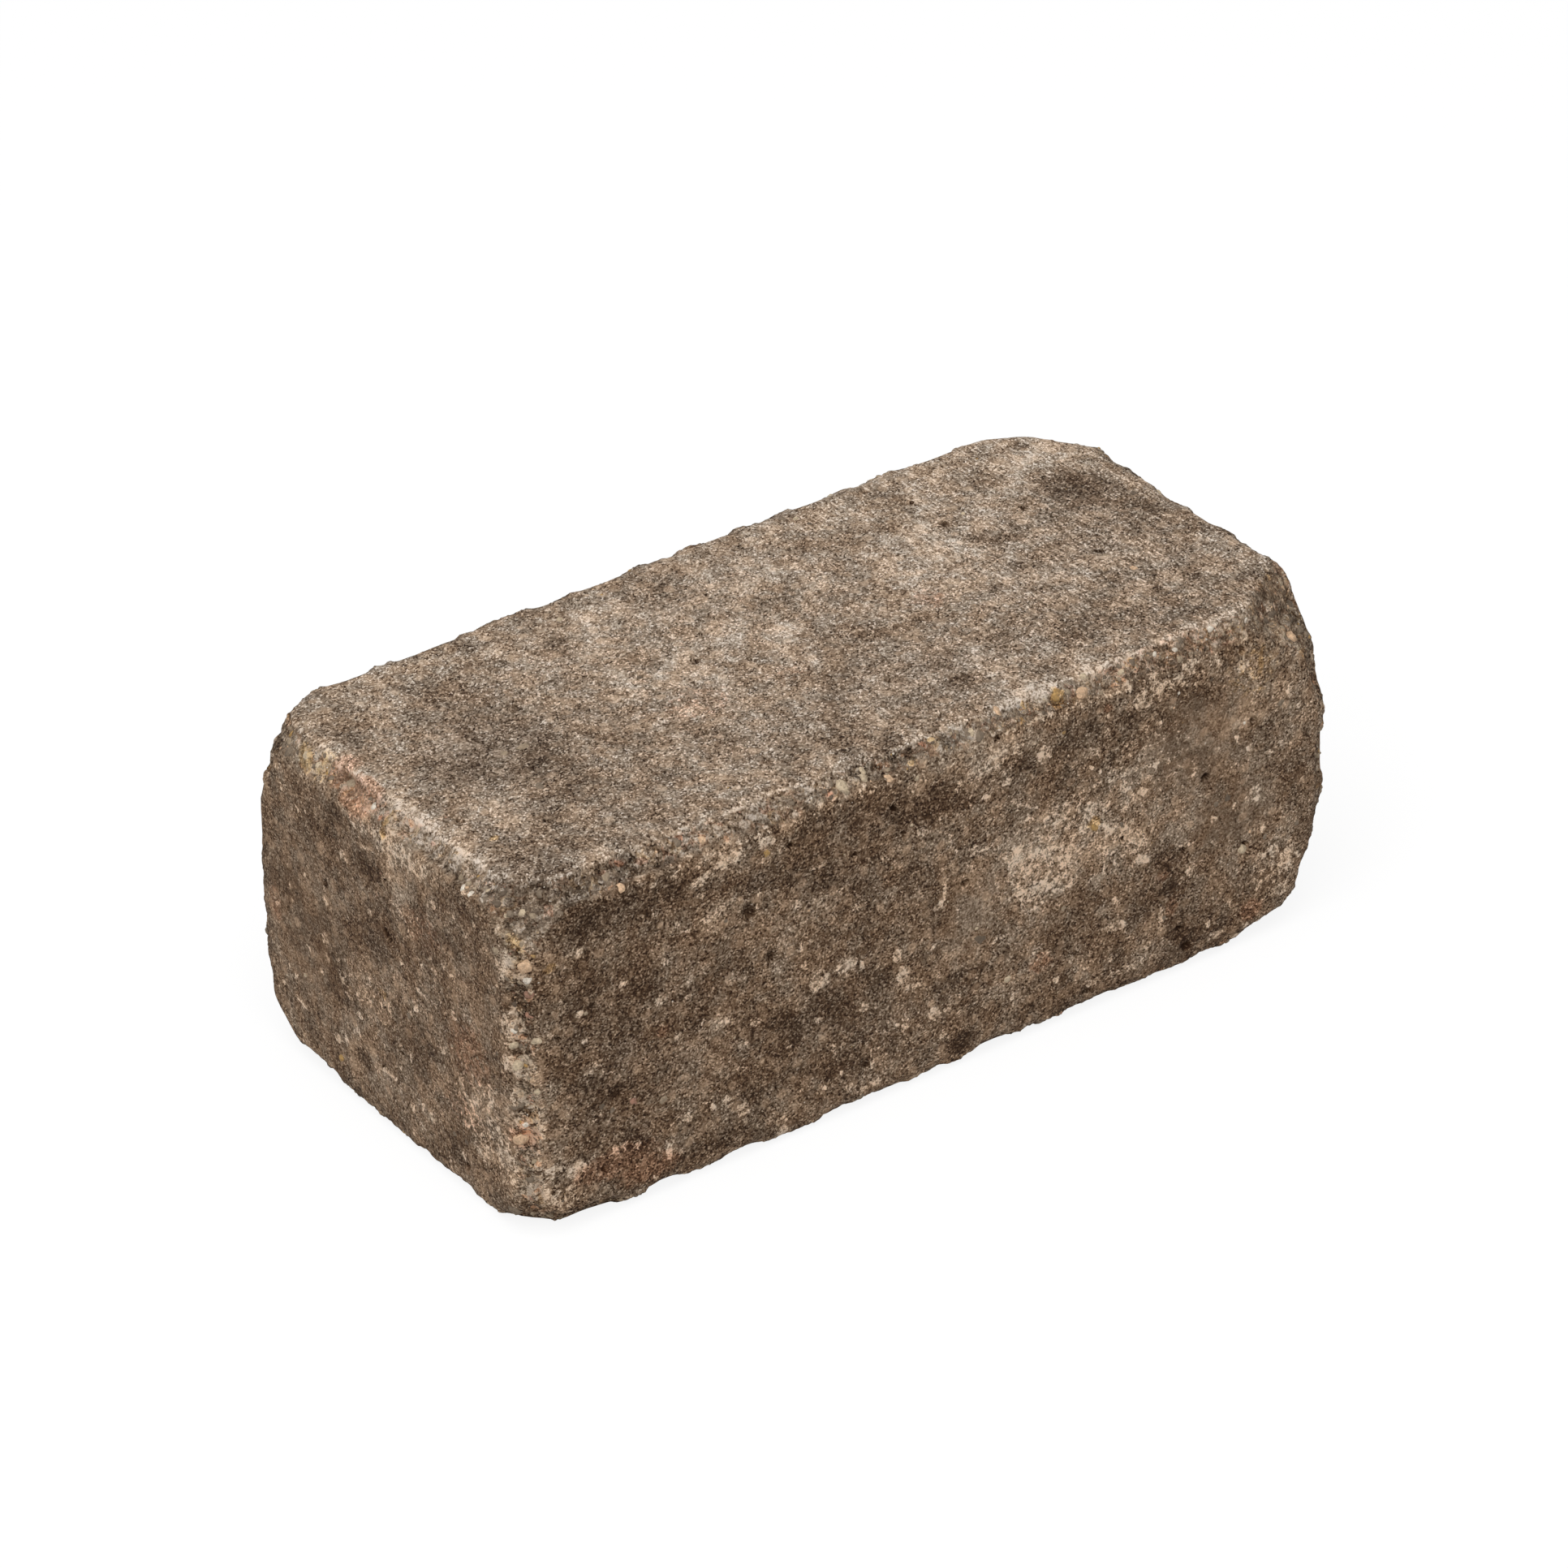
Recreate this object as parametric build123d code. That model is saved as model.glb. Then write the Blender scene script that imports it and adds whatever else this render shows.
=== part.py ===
from build123d import *
import os
from math import radians, sin, cos

# Tumbled concrete wall block, cast in one piece. Sizes are in millimetres.
# X runs along the length, Y from the show face to the back, Z up.
# The origin is the middle of the bottom face.
LENGTH = 300.0
WIDTH = 147.0
HEIGHT = 117.0

# Radius that tumbling leaves on every edge.
EDGE_ROUND = 8.0

# Depth that a worn flat reaches below the sharp edge, halfway along its stretch.
FLAT_DEPTH = 4.0

# Radius of the hollow that a knock leaves in an edge.
KNOCK_RADIUS = 24.0

# Edge of the cutting block that takes a flat or a corner away.
CUTTER = 2.0 * (LENGTH + WIDTH + HEIGHT)

# Side names as signs along X, Y and Z.
LEFT, RIGHT = -1, 1
FRONT, BACK = -1, 1
BOTTOM, TOP = -1, 1


class EdgeFlat:
    """One worn flat: its edge, where along it the depth is taken, its lean, its skew and its depth."""

    def __init__(self, run, sides, place, lean, skew, depth=FLAT_DEPTH):
        self.run = run
        self.sides = sides
        self.place = place
        self.lean = lean
        self.skew = skew
        self.depth = depth


# Worn flats, by the axis that the edge runs along and its two sides.
# The place is a share of half the edge, from -1 to 1. The lean is the angle of the flat's normal
# from the first side's normal, and the skew is how far it strays from the run of the edge, both
# in degrees. A flat is deeper towards the end that its skew points to.
EDGE_FLATS = [
    EdgeFlat("X", (FRONT, TOP), -0.66, 58.0, -0.9, 5.2),
    EdgeFlat("X", (FRONT, TOP), -0.10, 46.0, -0.3, 4.6),
    EdgeFlat("X", (FRONT, TOP), 0.52, 37.0, 0.6, 5.0),
    EdgeFlat("X", (BACK, TOP), -0.30, 47.0, 0.3, 3.6),
    EdgeFlat("X", (BACK, TOP), 0.40, 54.0, -0.4, 3.7),
    EdgeFlat("X", (FRONT, BOTTOM), -0.60, 49.0, -0.7),
    EdgeFlat("X", (FRONT, BOTTOM), 0.45, 41.0, 0.6, 3.8),
    EdgeFlat("X", (BACK, BOTTOM), -0.35, 40.0, -0.6, 4.6),
    EdgeFlat("X", (BACK, BOTTOM), 0.50, 53.0, 0.7, 4.8),
    EdgeFlat("Y", (LEFT, TOP), 0.45, 38.0, 1.2, 5.2),
    EdgeFlat("Y", (LEFT, TOP), -0.40, 52.0, -1.0, 5.0),
    EdgeFlat("Y", (RIGHT, TOP), -0.15, 46.0, -0.8, 4.2),
    EdgeFlat("Y", (LEFT, BOTTOM), 0.20, 43.0, 0.8, 3.8),
    EdgeFlat("Y", (RIGHT, BOTTOM), 0.35, 49.0, 1.0, 4.8),
    EdgeFlat("Z", (LEFT, FRONT), -0.20, 40.0, -0.8, 4.8),
    EdgeFlat("Z", (LEFT, FRONT), 0.40, 51.0, 1.2, 4.7),
    EdgeFlat("Z", (RIGHT, FRONT), 0.25, 52.0, -0.8, 4.2),
    EdgeFlat("Z", (LEFT, BACK), 0.20, 45.0, 1.0, 4.2),
    EdgeFlat("Z", (RIGHT, BACK), -0.25, 48.0, -1.0, 5.0),
]

# Broken corners: the sides that meet there, and how far back the break reaches along X, Y and Z.
CORNER_BREAKS = [
    ((RIGHT, BACK, TOP), (25.0, 38.0, 44.0)),
    ((RIGHT, BACK, TOP), (42.0, 22.0, 21.0)),
    ((RIGHT, FRONT, TOP), (38.0, 31.0, 34.0)),
    ((RIGHT, FRONT, TOP), (19.0, 21.0, 60.0)),
    ((RIGHT, FRONT, BOTTOM), (21.0, 32.0, 52.0)),
    ((RIGHT, FRONT, BOTTOM), (33.0, 27.0, 26.0)),
    ((RIGHT, FRONT, BOTTOM), (58.0, 22.0, 15.0)),
    ((RIGHT, BACK, BOTTOM), (26.0, 22.0, 30.0)),
    ((LEFT, BACK, TOP), (21.0, 25.0, 40.0)),
    ((LEFT, BACK, TOP), (52.0, 16.0, 15.0)),
    ((LEFT, FRONT, TOP), (31.0, 24.0, 24.0)),
    ((LEFT, FRONT, TOP), (17.0, 15.0, 36.0)),
    ((LEFT, FRONT, BOTTOM), (22.0, 22.0, 18.0)),
    ((LEFT, BACK, BOTTOM), (20.0, 25.0, 19.0)),
]

# Knocks: hollows where a lump broke out of an edge, as run, sides, place and depth below the
# sharp edge.
EDGE_KNOCKS = [
    ("Z", (RIGHT, FRONT), -0.62, 6.0),
    ("Y", (RIGHT, TOP), 0.02, 5.4),
    ("X", (FRONT, BOTTOM), -0.86, 5.6),
    ("X", (FRONT, TOP), -0.36, 6.4),
    ("X", (BACK, BOTTOM), 0.10, 6.8),
    ("Y", (RIGHT, BOTTOM), 0.30, 6.4),
    ("Z", (RIGHT, BACK), -0.20, 6.6),
]

HALF = {"X": LENGTH / 2, "Y": WIDTH / 2, "Z": HEIGHT / 2}
UNIT = {"X": Vector(1, 0, 0), "Y": Vector(0, 1, 0), "Z": Vector(0, 0, 1)}
# The two axes across an edge, in the order that its sides are named.
ACROSS = {"X": ("Y", "Z"), "Y": ("X", "Z"), "Z": ("X", "Y")}


def edge_point(run, sides, place):
    """The point of a sharp edge at a share of its half length."""
    first, second = ACROSS[run]
    across = UNIT[first] * (sides[0] * HALF[first]) + UNIT[second] * (sides[1] * HALF[second])
    return across + UNIT[run] * (place * HALF[run])


def beyond(point, normal):
    """Everything outside the plane through a point with this outward normal."""
    slab = Box(CUTTER, CUTTER, CUTTER, align=(Align.CENTER, Align.CENTER, Align.MIN))
    return Plane(origin=point, z_dir=normal) * slab


def flat_cutter(flat):
    """What a worn flat takes off its edge."""
    first, second = ACROSS[flat.run]
    lean = radians(flat.lean)
    skew = radians(flat.skew)
    outward = UNIT[first] * (flat.sides[0] * cos(lean)) + UNIT[second] * (flat.sides[1] * sin(lean))
    normal = outward * cos(skew) + UNIT[flat.run] * sin(skew)
    point = edge_point(flat.run, flat.sides, flat.place) - outward * flat.depth
    return beyond(point, normal)


def corner_cutter(sides, reach):
    """What a break takes off a corner, by its reach along the three edges."""
    corner = Vector(sides[0] * HALF["X"], sides[1] * HALF["Y"], sides[2] * HALF["Z"])
    normal = Vector(sides[0] / reach[0], sides[1] / reach[1], sides[2] / reach[2]).normalized()
    return beyond(corner - Vector(sides[0] * reach[0], 0, 0), normal)


def knock_cutter(run, sides, place, depth):
    """The ball that leaves a hollow in an edge."""
    first, second = ACROSS[run]
    outward = (UNIT[first] * sides[0] + UNIT[second] * sides[1]).normalized()
    centre = edge_point(run, sides, place) + outward * (KNOCK_RADIUS - depth)
    return Pos(centre) * Sphere(KNOCK_RADIUS)


def make_block():
    """The whole block, centred on the origin."""
    moulded = Box(LENGTH, WIDTH, HEIGHT)
    block = fillet(moulded.edges(), EDGE_ROUND)
    for flat in EDGE_FLATS:
        block -= flat_cutter(flat)
    for sides, reach in CORNER_BREAKS:
        block -= corner_cutter(sides, reach)
    for run, sides, place, depth in EDGE_KNOCKS:
        block -= knock_cutter(run, sides, place, depth)
    return block


os.makedirs("parts", exist_ok=True)
wall_block = Pos(0, 0, HEIGHT / 2) * make_block()
export_step(wall_block, "parts/wall_block.step")
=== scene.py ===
import logging
import math
from dataclasses import dataclass
from enum import Enum
from typing import Any, Iterable, Sequence

import bmesh
import bpy
import numpy as np
from mathutils import Matrix, Vector
from mathutils.bvhtree import BVHTree


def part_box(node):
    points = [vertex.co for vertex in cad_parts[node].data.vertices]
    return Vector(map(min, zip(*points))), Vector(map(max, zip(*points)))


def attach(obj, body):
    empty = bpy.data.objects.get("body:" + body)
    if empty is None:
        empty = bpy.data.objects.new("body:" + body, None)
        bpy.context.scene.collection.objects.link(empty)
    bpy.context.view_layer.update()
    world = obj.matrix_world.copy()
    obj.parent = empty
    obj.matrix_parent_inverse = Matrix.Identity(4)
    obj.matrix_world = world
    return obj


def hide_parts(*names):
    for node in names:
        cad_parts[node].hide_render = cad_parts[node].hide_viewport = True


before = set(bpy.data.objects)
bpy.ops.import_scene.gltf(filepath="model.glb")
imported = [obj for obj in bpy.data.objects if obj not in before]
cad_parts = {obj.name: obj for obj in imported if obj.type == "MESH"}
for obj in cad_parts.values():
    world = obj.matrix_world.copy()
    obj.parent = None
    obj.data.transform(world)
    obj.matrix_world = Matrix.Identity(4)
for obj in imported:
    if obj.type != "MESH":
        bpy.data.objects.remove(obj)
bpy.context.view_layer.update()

log = logging.getLogger("wall_block")

MM = 0.001
NODE = "wall_block"
BODY = "root"

LOW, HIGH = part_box(NODE)
HALF = (HIGH - LOW) / 2 / MM
CENTRE = (HIGH + LOW) / 2 / MM

# The steps of an 8-bit sRGB value.
STEPS = 255.0

# In those steps, how far this concrete's red lies over its green and its blue under it, how much more the
# blue falls back in brighter places, and twice the green at which each of the two lies furthest off.
RED_OVER = 15.5
BLUE_UNDER = 11.5
BLUE_WARMER = 0.03
RED_TURN = 310.0
BLUE_TURN = 320.0

# The darkest green that the concrete's colour ramps hold, and how many stops they have.
DARKEST = 18.0
RAMP_STOPS = 9

WHITE = (1.0, 1.0, 1.0, 1.0)

# Spacing of the stones that show in worn places, and of the small holes in the faces, in mm.
STONE_SPACING = 3.3
HOLE_SPACING = 12.0

# Where a stain starts to fade and where it ends, in shares of its size, and how deep it goes, in mm.
STAIN_FULL = 0.45
STAIN_END = 1.4
STAIN_DEPTH = 12.0

Colour = tuple[float, float, float, float]
Stops = Sequence[tuple[float, Colour]]


class Side(Enum):
    """A side of the block: the axis it faces along, which way, and its own two axes."""

    FRONT = (1, -1, 0, 2)
    BACK = (1, 1, 0, 2)
    LEFT = (0, -1, 1, 2)
    RIGHT = (0, 1, 1, 2)
    TOP = (2, 1, 0, 1)
    BOTTOM = (2, -1, 0, 1)

    @property
    def facing(self) -> Vector:
        """The side's outward direction."""
        out = Vector((0.0, 0.0, 0.0))
        out[self.value[0]] = self.value[1]
        return out

    def point(self, across: float, along: float, lift: float = 0.0) -> Vector:
        """A point on the side, from the block's middle.

        Args:
            across: place on the side's first axis, in mm.
            along: place on its second axis, in mm.
            lift: height above the side, in mm.

        Returns:
            The point in mm.
        """
        axis, sign, first, second = self.value
        out = Vector((0.0, 0.0, 0.0))
        out[axis] = sign * (HALF[axis] + lift)
        out[first] = across
        out[second] = along
        return out


class Tone(Enum):
    """What a stain does to the concrete: the name of its attribute on the mesh."""

    PALE = "stain_pale"
    LIGHT = "stain_light"
    TAN = "stain_tan"
    # Darker stains; at strengths over 1.1 they are pits that the relief sinks, and their darkening there is
    # painted shade.
    DARK = "stain_dark"
    RUST = "stain_rust"
    OCHRE = "stain_ochre"
    COOL = "stain_cool"
    SMOOTH = "stain_smooth"
    GRAVEL = "stain_gravel"


@dataclass(frozen=True)
class Stain:
    """A stain, crust or smoother patch at a place of its own on one side; the strongest dark ones are pits
    whose darkness is painted shade.
    """

    side: Side
    tone: Tone
    across: float
    along: float
    wide: float
    tall: float
    turn: float = 0.0
    strength: float = 1.0


Marks = dict[Tone, tuple[tuple[float, ...], ...]]


def smoothstep(low: float, high: float, value: np.ndarray) -> np.ndarray:
    """A soft step from 0 to 1.

    Args:
        low: where it leaves 0.
        high: where it reaches 1.
        value: the values to step.

    Returns:
        The stepped values.
    """
    share = np.clip((value - low) / (high - low), 0.0, 1.0)
    return share * share * (3.0 - 2.0 * share)


def to_linear(step: float) -> float:
    """The linear value of an 8-bit sRGB value."""
    share = min(max(step / STEPS, 0.0), 1.0)
    return share / 12.92 if share <= 0.04045 else ((share + 0.055) / 1.055) ** 2.4


def concrete_colour(green: float, light: float, warmth: float) -> Colour:
    """The concrete's own colour where it shows at a given brightness.

    Args:
        green: the green value that shows, in 8-bit steps.
        light: the share of full light that falls there.
        warmth: how much further apart red and blue lie in brighter places.

    Returns:
        The linear colour with alpha.
    """
    red = green + RED_OVER + warmth * min(green, RED_TURN - green)
    blue = green - BLUE_UNDER - (warmth + BLUE_WARMER) * min(green, BLUE_TURN - green)
    return tuple(min(to_linear(step) / light, 1.0) for step in (red, green, blue)) + (1.0,)


class Wire:
    """A value that runs through a node graph; arithmetic on it adds Math nodes."""

    def __init__(self, graph: "Graph", socket: bpy.types.NodeSocket) -> None:
        """Wraps an output socket of a graph."""
        self.graph = graph
        self.socket = socket

    def __add__(self, other: Any) -> "Wire":
        """Sum."""
        return self.graph.maths("ADD", self, other)

    def __radd__(self, other: Any) -> "Wire":
        """Sum, from the right."""
        return self.graph.maths("ADD", other, self)

    def __sub__(self, other: Any) -> "Wire":
        """Difference."""
        return self.graph.maths("SUBTRACT", self, other)

    def __rsub__(self, other: Any) -> "Wire":
        """Difference, from the right."""
        return self.graph.maths("SUBTRACT", other, self)

    def __mul__(self, other: Any) -> "Wire":
        """Product."""
        return self.graph.maths("MULTIPLY", self, other)

    def __rmul__(self, other: Any) -> "Wire":
        """Product, from the right."""
        return self.graph.maths("MULTIPLY", other, self)

    def __truediv__(self, other: Any) -> "Wire":
        """Quotient."""
        return self.graph.maths("DIVIDE", self, other)

    def low(self, other: Any) -> "Wire":
        """The smaller of two values."""
        return self.graph.maths("MINIMUM", self, other)

    def high(self, other: Any) -> "Wire":
        """The larger of two values."""
        return self.graph.maths("MAXIMUM", self, other)

    def clamp(self) -> "Wire":
        """The value held between 0 and 1."""
        return self.low(1.0).high(0.0)

    def step(self, low: float, high: float) -> "Wire":
        """A soft step of the value.

        Args:
            low: where it leaves 0.
            high: where it reaches 1.

        Returns:
            The stepped value.
        """
        settings = {"interpolation_type": "SMOOTHSTEP"}
        sockets = {"Value": self, "From Min": low, "From Max": high}
        return self.graph.node("ShaderNodeMapRange", settings, sockets).out("Result")


class Placed:
    """A node that stands in a graph."""

    def __init__(self, graph: "Graph", node: bpy.types.Node) -> None:
        """Holds the node and its graph."""
        self.graph = graph
        self.node = node

    def out(self, key: str | int = 0) -> Wire:
        """The wire that leaves by an output, by name or number."""
        return Wire(self.graph, self.node.outputs[key])


class Graph:
    """A node tree, of a material or of Geometry Nodes, with short ways to add to it."""

    def __init__(self, tree: bpy.types.NodeTree) -> None:
        """Starts on an empty tree."""
        self.tree = tree

    def node(self, kind: str, settings: dict | None = None, sockets: dict | None = None) -> Placed:
        """Adds a node.

        Args:
            kind: the node's type.
            settings: its settings, which are set first; "stops" are a colour ramp's stops.
            sockets: values or wires for its inputs, by name or number.

        Returns:
            The placed node.
        """
        node = self.tree.nodes.new(kind)
        for name, value in (settings or {}).items():
            if name == "stops":
                self._set_stops(node.color_ramp, value)
            else:
                setattr(node, name, value)
        for key, value in (sockets or {}).items():
            if isinstance(value, Wire):
                self.tree.links.new(value.socket, node.inputs[key])
            else:
                node.inputs[key].default_value = value
        return Placed(self, node)

    @staticmethod
    def _set_stops(ramp: bpy.types.ColorRamp, stops: Stops) -> None:
        """Writes a ramp's stops."""
        while len(ramp.elements) < len(stops):
            ramp.elements.new(1.0)
        for element, (place, colour) in zip(ramp.elements, stops):
            element.position = place
            element.color = colour

    def maths(self, operation: str, *values: Any) -> Wire:
        """A Math node on one to three values."""
        return self.node("ShaderNodeMath", {"operation": operation}, dict(enumerate(values))).out()

    def vector(self, operation: str, *values: Any, out: str = "Vector") -> Wire:
        """A Vector Math node; a number for SCALE comes last."""
        sockets: dict = dict(enumerate(values))
        if operation == "SCALE":
            sockets = {0: values[0], "Scale": values[1]}
        return self.node("ShaderNodeVectorMath", {"operation": operation}, sockets).out(out)

    def split(self, value: Wire) -> tuple[Wire, Wire, Wire]:
        """The three parts of a vector."""
        parts = self.node("ShaderNodeSeparateXYZ", sockets={0: value})
        return parts.out(0), parts.out(1), parts.out(2)

    def join(self, first: Any, second: Any, third: Any) -> Wire:
        """A vector of three numbers."""
        return self.node("ShaderNodeCombineXYZ", sockets={0: first, 1: second, 2: third}).out()

    def cloud(self, place: Wire, grain: float, detail: float, rough: float, seed: int) -> Wire:
        """Cloudy noise, about 0.5 in the middle.

        Args:
            place: the point, in mm.
            grain: how wide the largest clouds are, in mm.
            detail: how many finer layers are added.
            rough: how strong each finer layer is.
            seed: which noise.

        Returns:
            The noise value.
        """
        sockets = {
            "Vector": self.shifted(place, seed),
            "Scale": 1.0 / grain,
            "Detail": detail,
            "Roughness": rough,
        }
        return self.node("ShaderNodeTexNoise", {"noise_dimensions": "3D"}, sockets).out(0)

    def cells(self, place: Wire, grain: float, seed: int) -> tuple[Wire, Wire]:
        """Cells scattered through space.

        Args:
            place: the point, in mm.
            grain: the cells' spacing, in mm.
            seed: which scatter.

        Returns:
            The distance to the nearest cell's middle in cell spacings, and the cell's random colour.
        """
        sockets = {"Vector": self.shifted(place, seed), "Scale": 1.0 / grain, "Randomness": 1.0}
        node = self.node("ShaderNodeTexVoronoi", {"voronoi_dimensions": "3D", "feature": "F1"}, sockets)
        return node.out("Distance"), node.out("Color")

    def shifted(self, place: Wire, seed: int) -> Wire:
        """A point moved far off, so that each seed sees other noise."""
        return self.vector("ADD", place, (31.7 * seed, 57.3 * seed, 83.9 * seed))

    def swayed(self, place: Wire, grain: float, reach: float) -> Wire:
        """A point pushed about by slow noise.

        Args:
            place: the point, in mm.
            grain: how far apart the pushes differ, in mm.
            reach: how far the longest pushes go, in mm.

        Returns:
            The pushed point.
        """
        push = self.node("ShaderNodeTexNoise", None, {"Vector": place, "Scale": 1.0 / grain, "Detail": 0.0})
        return self.vector("ADD", place, self.vector("SCALE", push.out("Color"), 2.0 * reach))

    def stones(self, place: Wire) -> tuple[Wire, Wire]:
        """The stones in the concrete, which both its relief and its colour follow."""
        return self.cells(self.swayed(place, STONE_SPACING * 0.8, 0.9), STONE_SPACING, 6)

    def holes(self, place: Wire) -> Wire:
        """Where a pore or a fallen grain left a hole, from 0 to 1."""
        gap, colour = self.cells(place, HOLE_SPACING, 36)
        pick, width, _ = self.split(colour)
        ragged = (self.cloud(place, 1.5, 3.0, 0.8, 37) - 0.5) * 0.5
        reach = width * width * 0.07 + 0.02
        return (1.0 - (gap + ragged - reach).step(0.0, 0.035)) * pick.step(0.5, 0.51)

    def edge_gaps(self, place: Wire) -> tuple[Wire, Wire]:
        """How deep a point lies under the sharp block, and how far it is from the nearest edge.

        Args:
            place: the point from the block's middle, in mm.

        Returns:
            The smallest and the middle of the distances to the three nearest side planes, in mm.
        """
        gaps = self.split(self.vector("SUBTRACT", tuple(HALF), self.vector("ABSOLUTE", place)))
        lower = gaps[0].low(gaps[1])
        upper = gaps[0].high(gaps[1])
        return lower.low(gaps[2]), lower.high(upper.low(gaps[2]))


class GeometryGraph(Graph):
    """A Geometry Nodes tree with named inputs for its sizes."""

    def __init__(self, name: str, sizes: dict[str, float]) -> None:
        """Starts a tree.

        Args:
            name: the tree's name.
            sizes: its named inputs and their values.
        """
        super().__init__(bpy.data.node_groups.new(name, "GeometryNodeTree"))
        self.sizes = sizes
        face = self.tree.interface
        face.new_socket("Geometry", in_out="INPUT", socket_type="NodeSocketGeometry")
        for label in sizes:
            face.new_socket(label, in_out="INPUT", socket_type="NodeSocketFloat")
        face.new_socket("Geometry", in_out="OUTPUT", socket_type="NodeSocketGeometry")
        self.source = self.node("NodeGroupInput")

    def named(self, label: str) -> Wire:
        """The wire of a named input."""
        return self.source.out(label)

    def attribute(self, name: str, kind: str = "FLOAT") -> Wire:
        """A named attribute of the geometry."""
        node = self.node("GeometryNodeInputNamedAttribute", {"data_type": kind}, {"Name": name})
        return node.out("Attribute")

    def position(self) -> Wire:
        """The point from the block's middle, in mm."""
        metres = self.node("GeometryNodeInputPosition").out()
        return self.vector("SUBTRACT", self.vector("SCALE", metres, 1.0 / MM), tuple(CENTRE))

    def keep(self, geometry: Wire, name: str, value: Wire, kind: str = "FLOAT") -> Wire:
        """Stores a value on each point under a name."""
        sockets = {"Geometry": geometry, "Name": name, "Value": value}
        return self.node("GeometryNodeStoreNamedAttribute", {"data_type": kind}, sockets).out()

    def finish(self, geometry: Wire, material: bpy.types.Material) -> None:
        """Ends the tree with real geometry and its material."""
        real = self.node("GeometryNodeRealizeInstances", sockets={"Geometry": geometry}).out()
        dressed = self.node("GeometryNodeSetMaterial", None, {"Geometry": real, "Material": material})
        self.node("NodeGroupOutput", None, {"Geometry": dressed.out()})

    def put_on(self, thing: bpy.types.Object) -> bpy.types.Modifier:
        """Adds the tree to an object and sets its sizes.

        Args:
            thing: the object.

        Returns:
            The modifier.
        """
        modifier = thing.modifiers.new(self.tree.name, "NODES")
        modifier.node_group = self.tree
        for socket in self.tree.interface.items_tree:
            if socket.in_out == "INPUT" and socket.name in self.sizes:
                modifier[socket.identifier] = self.sizes[socket.name]
        return modifier


class MaterialGraph(Graph):
    """A material's node tree that ends in one Principled shader."""

    def __init__(self, name: str) -> None:
        """Starts an empty material."""
        self.material = bpy.data.materials.new(name)
        self.material.use_nodes = True
        self.material.node_tree.nodes.clear()
        super().__init__(self.material.node_tree)

    def position(self) -> Wire:
        """The point from the block's middle, in mm."""
        metres = self.node("ShaderNodeTexCoord").out("Object")
        return self.vector("SUBTRACT", self.vector("SCALE", metres, 1.0 / MM), tuple(CENTRE))

    def attribute(self, name: str, out: str = "Fac") -> Wire:
        """A value stored on the mesh."""
        return self.node("ShaderNodeAttribute", {"attribute_name": name}).out(out)

    def ramp(self, value: Wire, stops: Stops, mode: str = "LINEAR") -> Wire:
        """A colour picked by a value.

        Args:
            value: from 0 to 1.
            stops: places and colours.
            mode: how the ramp runs between stops.

        Returns:
            The colour.
        """
        node = self.node("ShaderNodeValToRGB", {"stops": stops}, {"Fac": value})
        node.node.color_ramp.interpolation = mode
        return node.out("Color")

    def mix(self, factor: Any, first: Any, second: Any) -> Wire:
        """Two colours mixed.

        Args:
            factor: the second colour's share.
            first: a colour.
            second: a colour.

        Returns:
            The mixed colour.
        """
        return self.node("ShaderNodeMix", {"data_type": "RGBA"}, {0: factor, 6: first, 7: second}).out(2)

    def bump(self, height: Wire) -> Wire:
        """The normal of a relief in mm."""
        sockets = {"Height": height, "Distance": MM, "Strength": 1.0}
        return self.node("ShaderNodeBump", None, sockets).out("Normal")

    def finish(self, colour: Wire, rough: Any, normal: Wire, gloss: float) -> bpy.types.Material:
        """Ends the material.

        Args:
            colour: the base colour.
            rough: the roughness.
            normal: the bumped normal.
            gloss: the specular level.

        Returns:
            The material.
        """
        sockets = {"Base Color": colour, "Roughness": rough, "Normal": normal, "Specular IOR Level": gloss}
        shader = self.node("ShaderNodeBsdfPrincipled", sockets=sockets).out("BSDF")
        self.node("ShaderNodeOutputMaterial", sockets={"Surface": shader})
        return self.material


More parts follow.
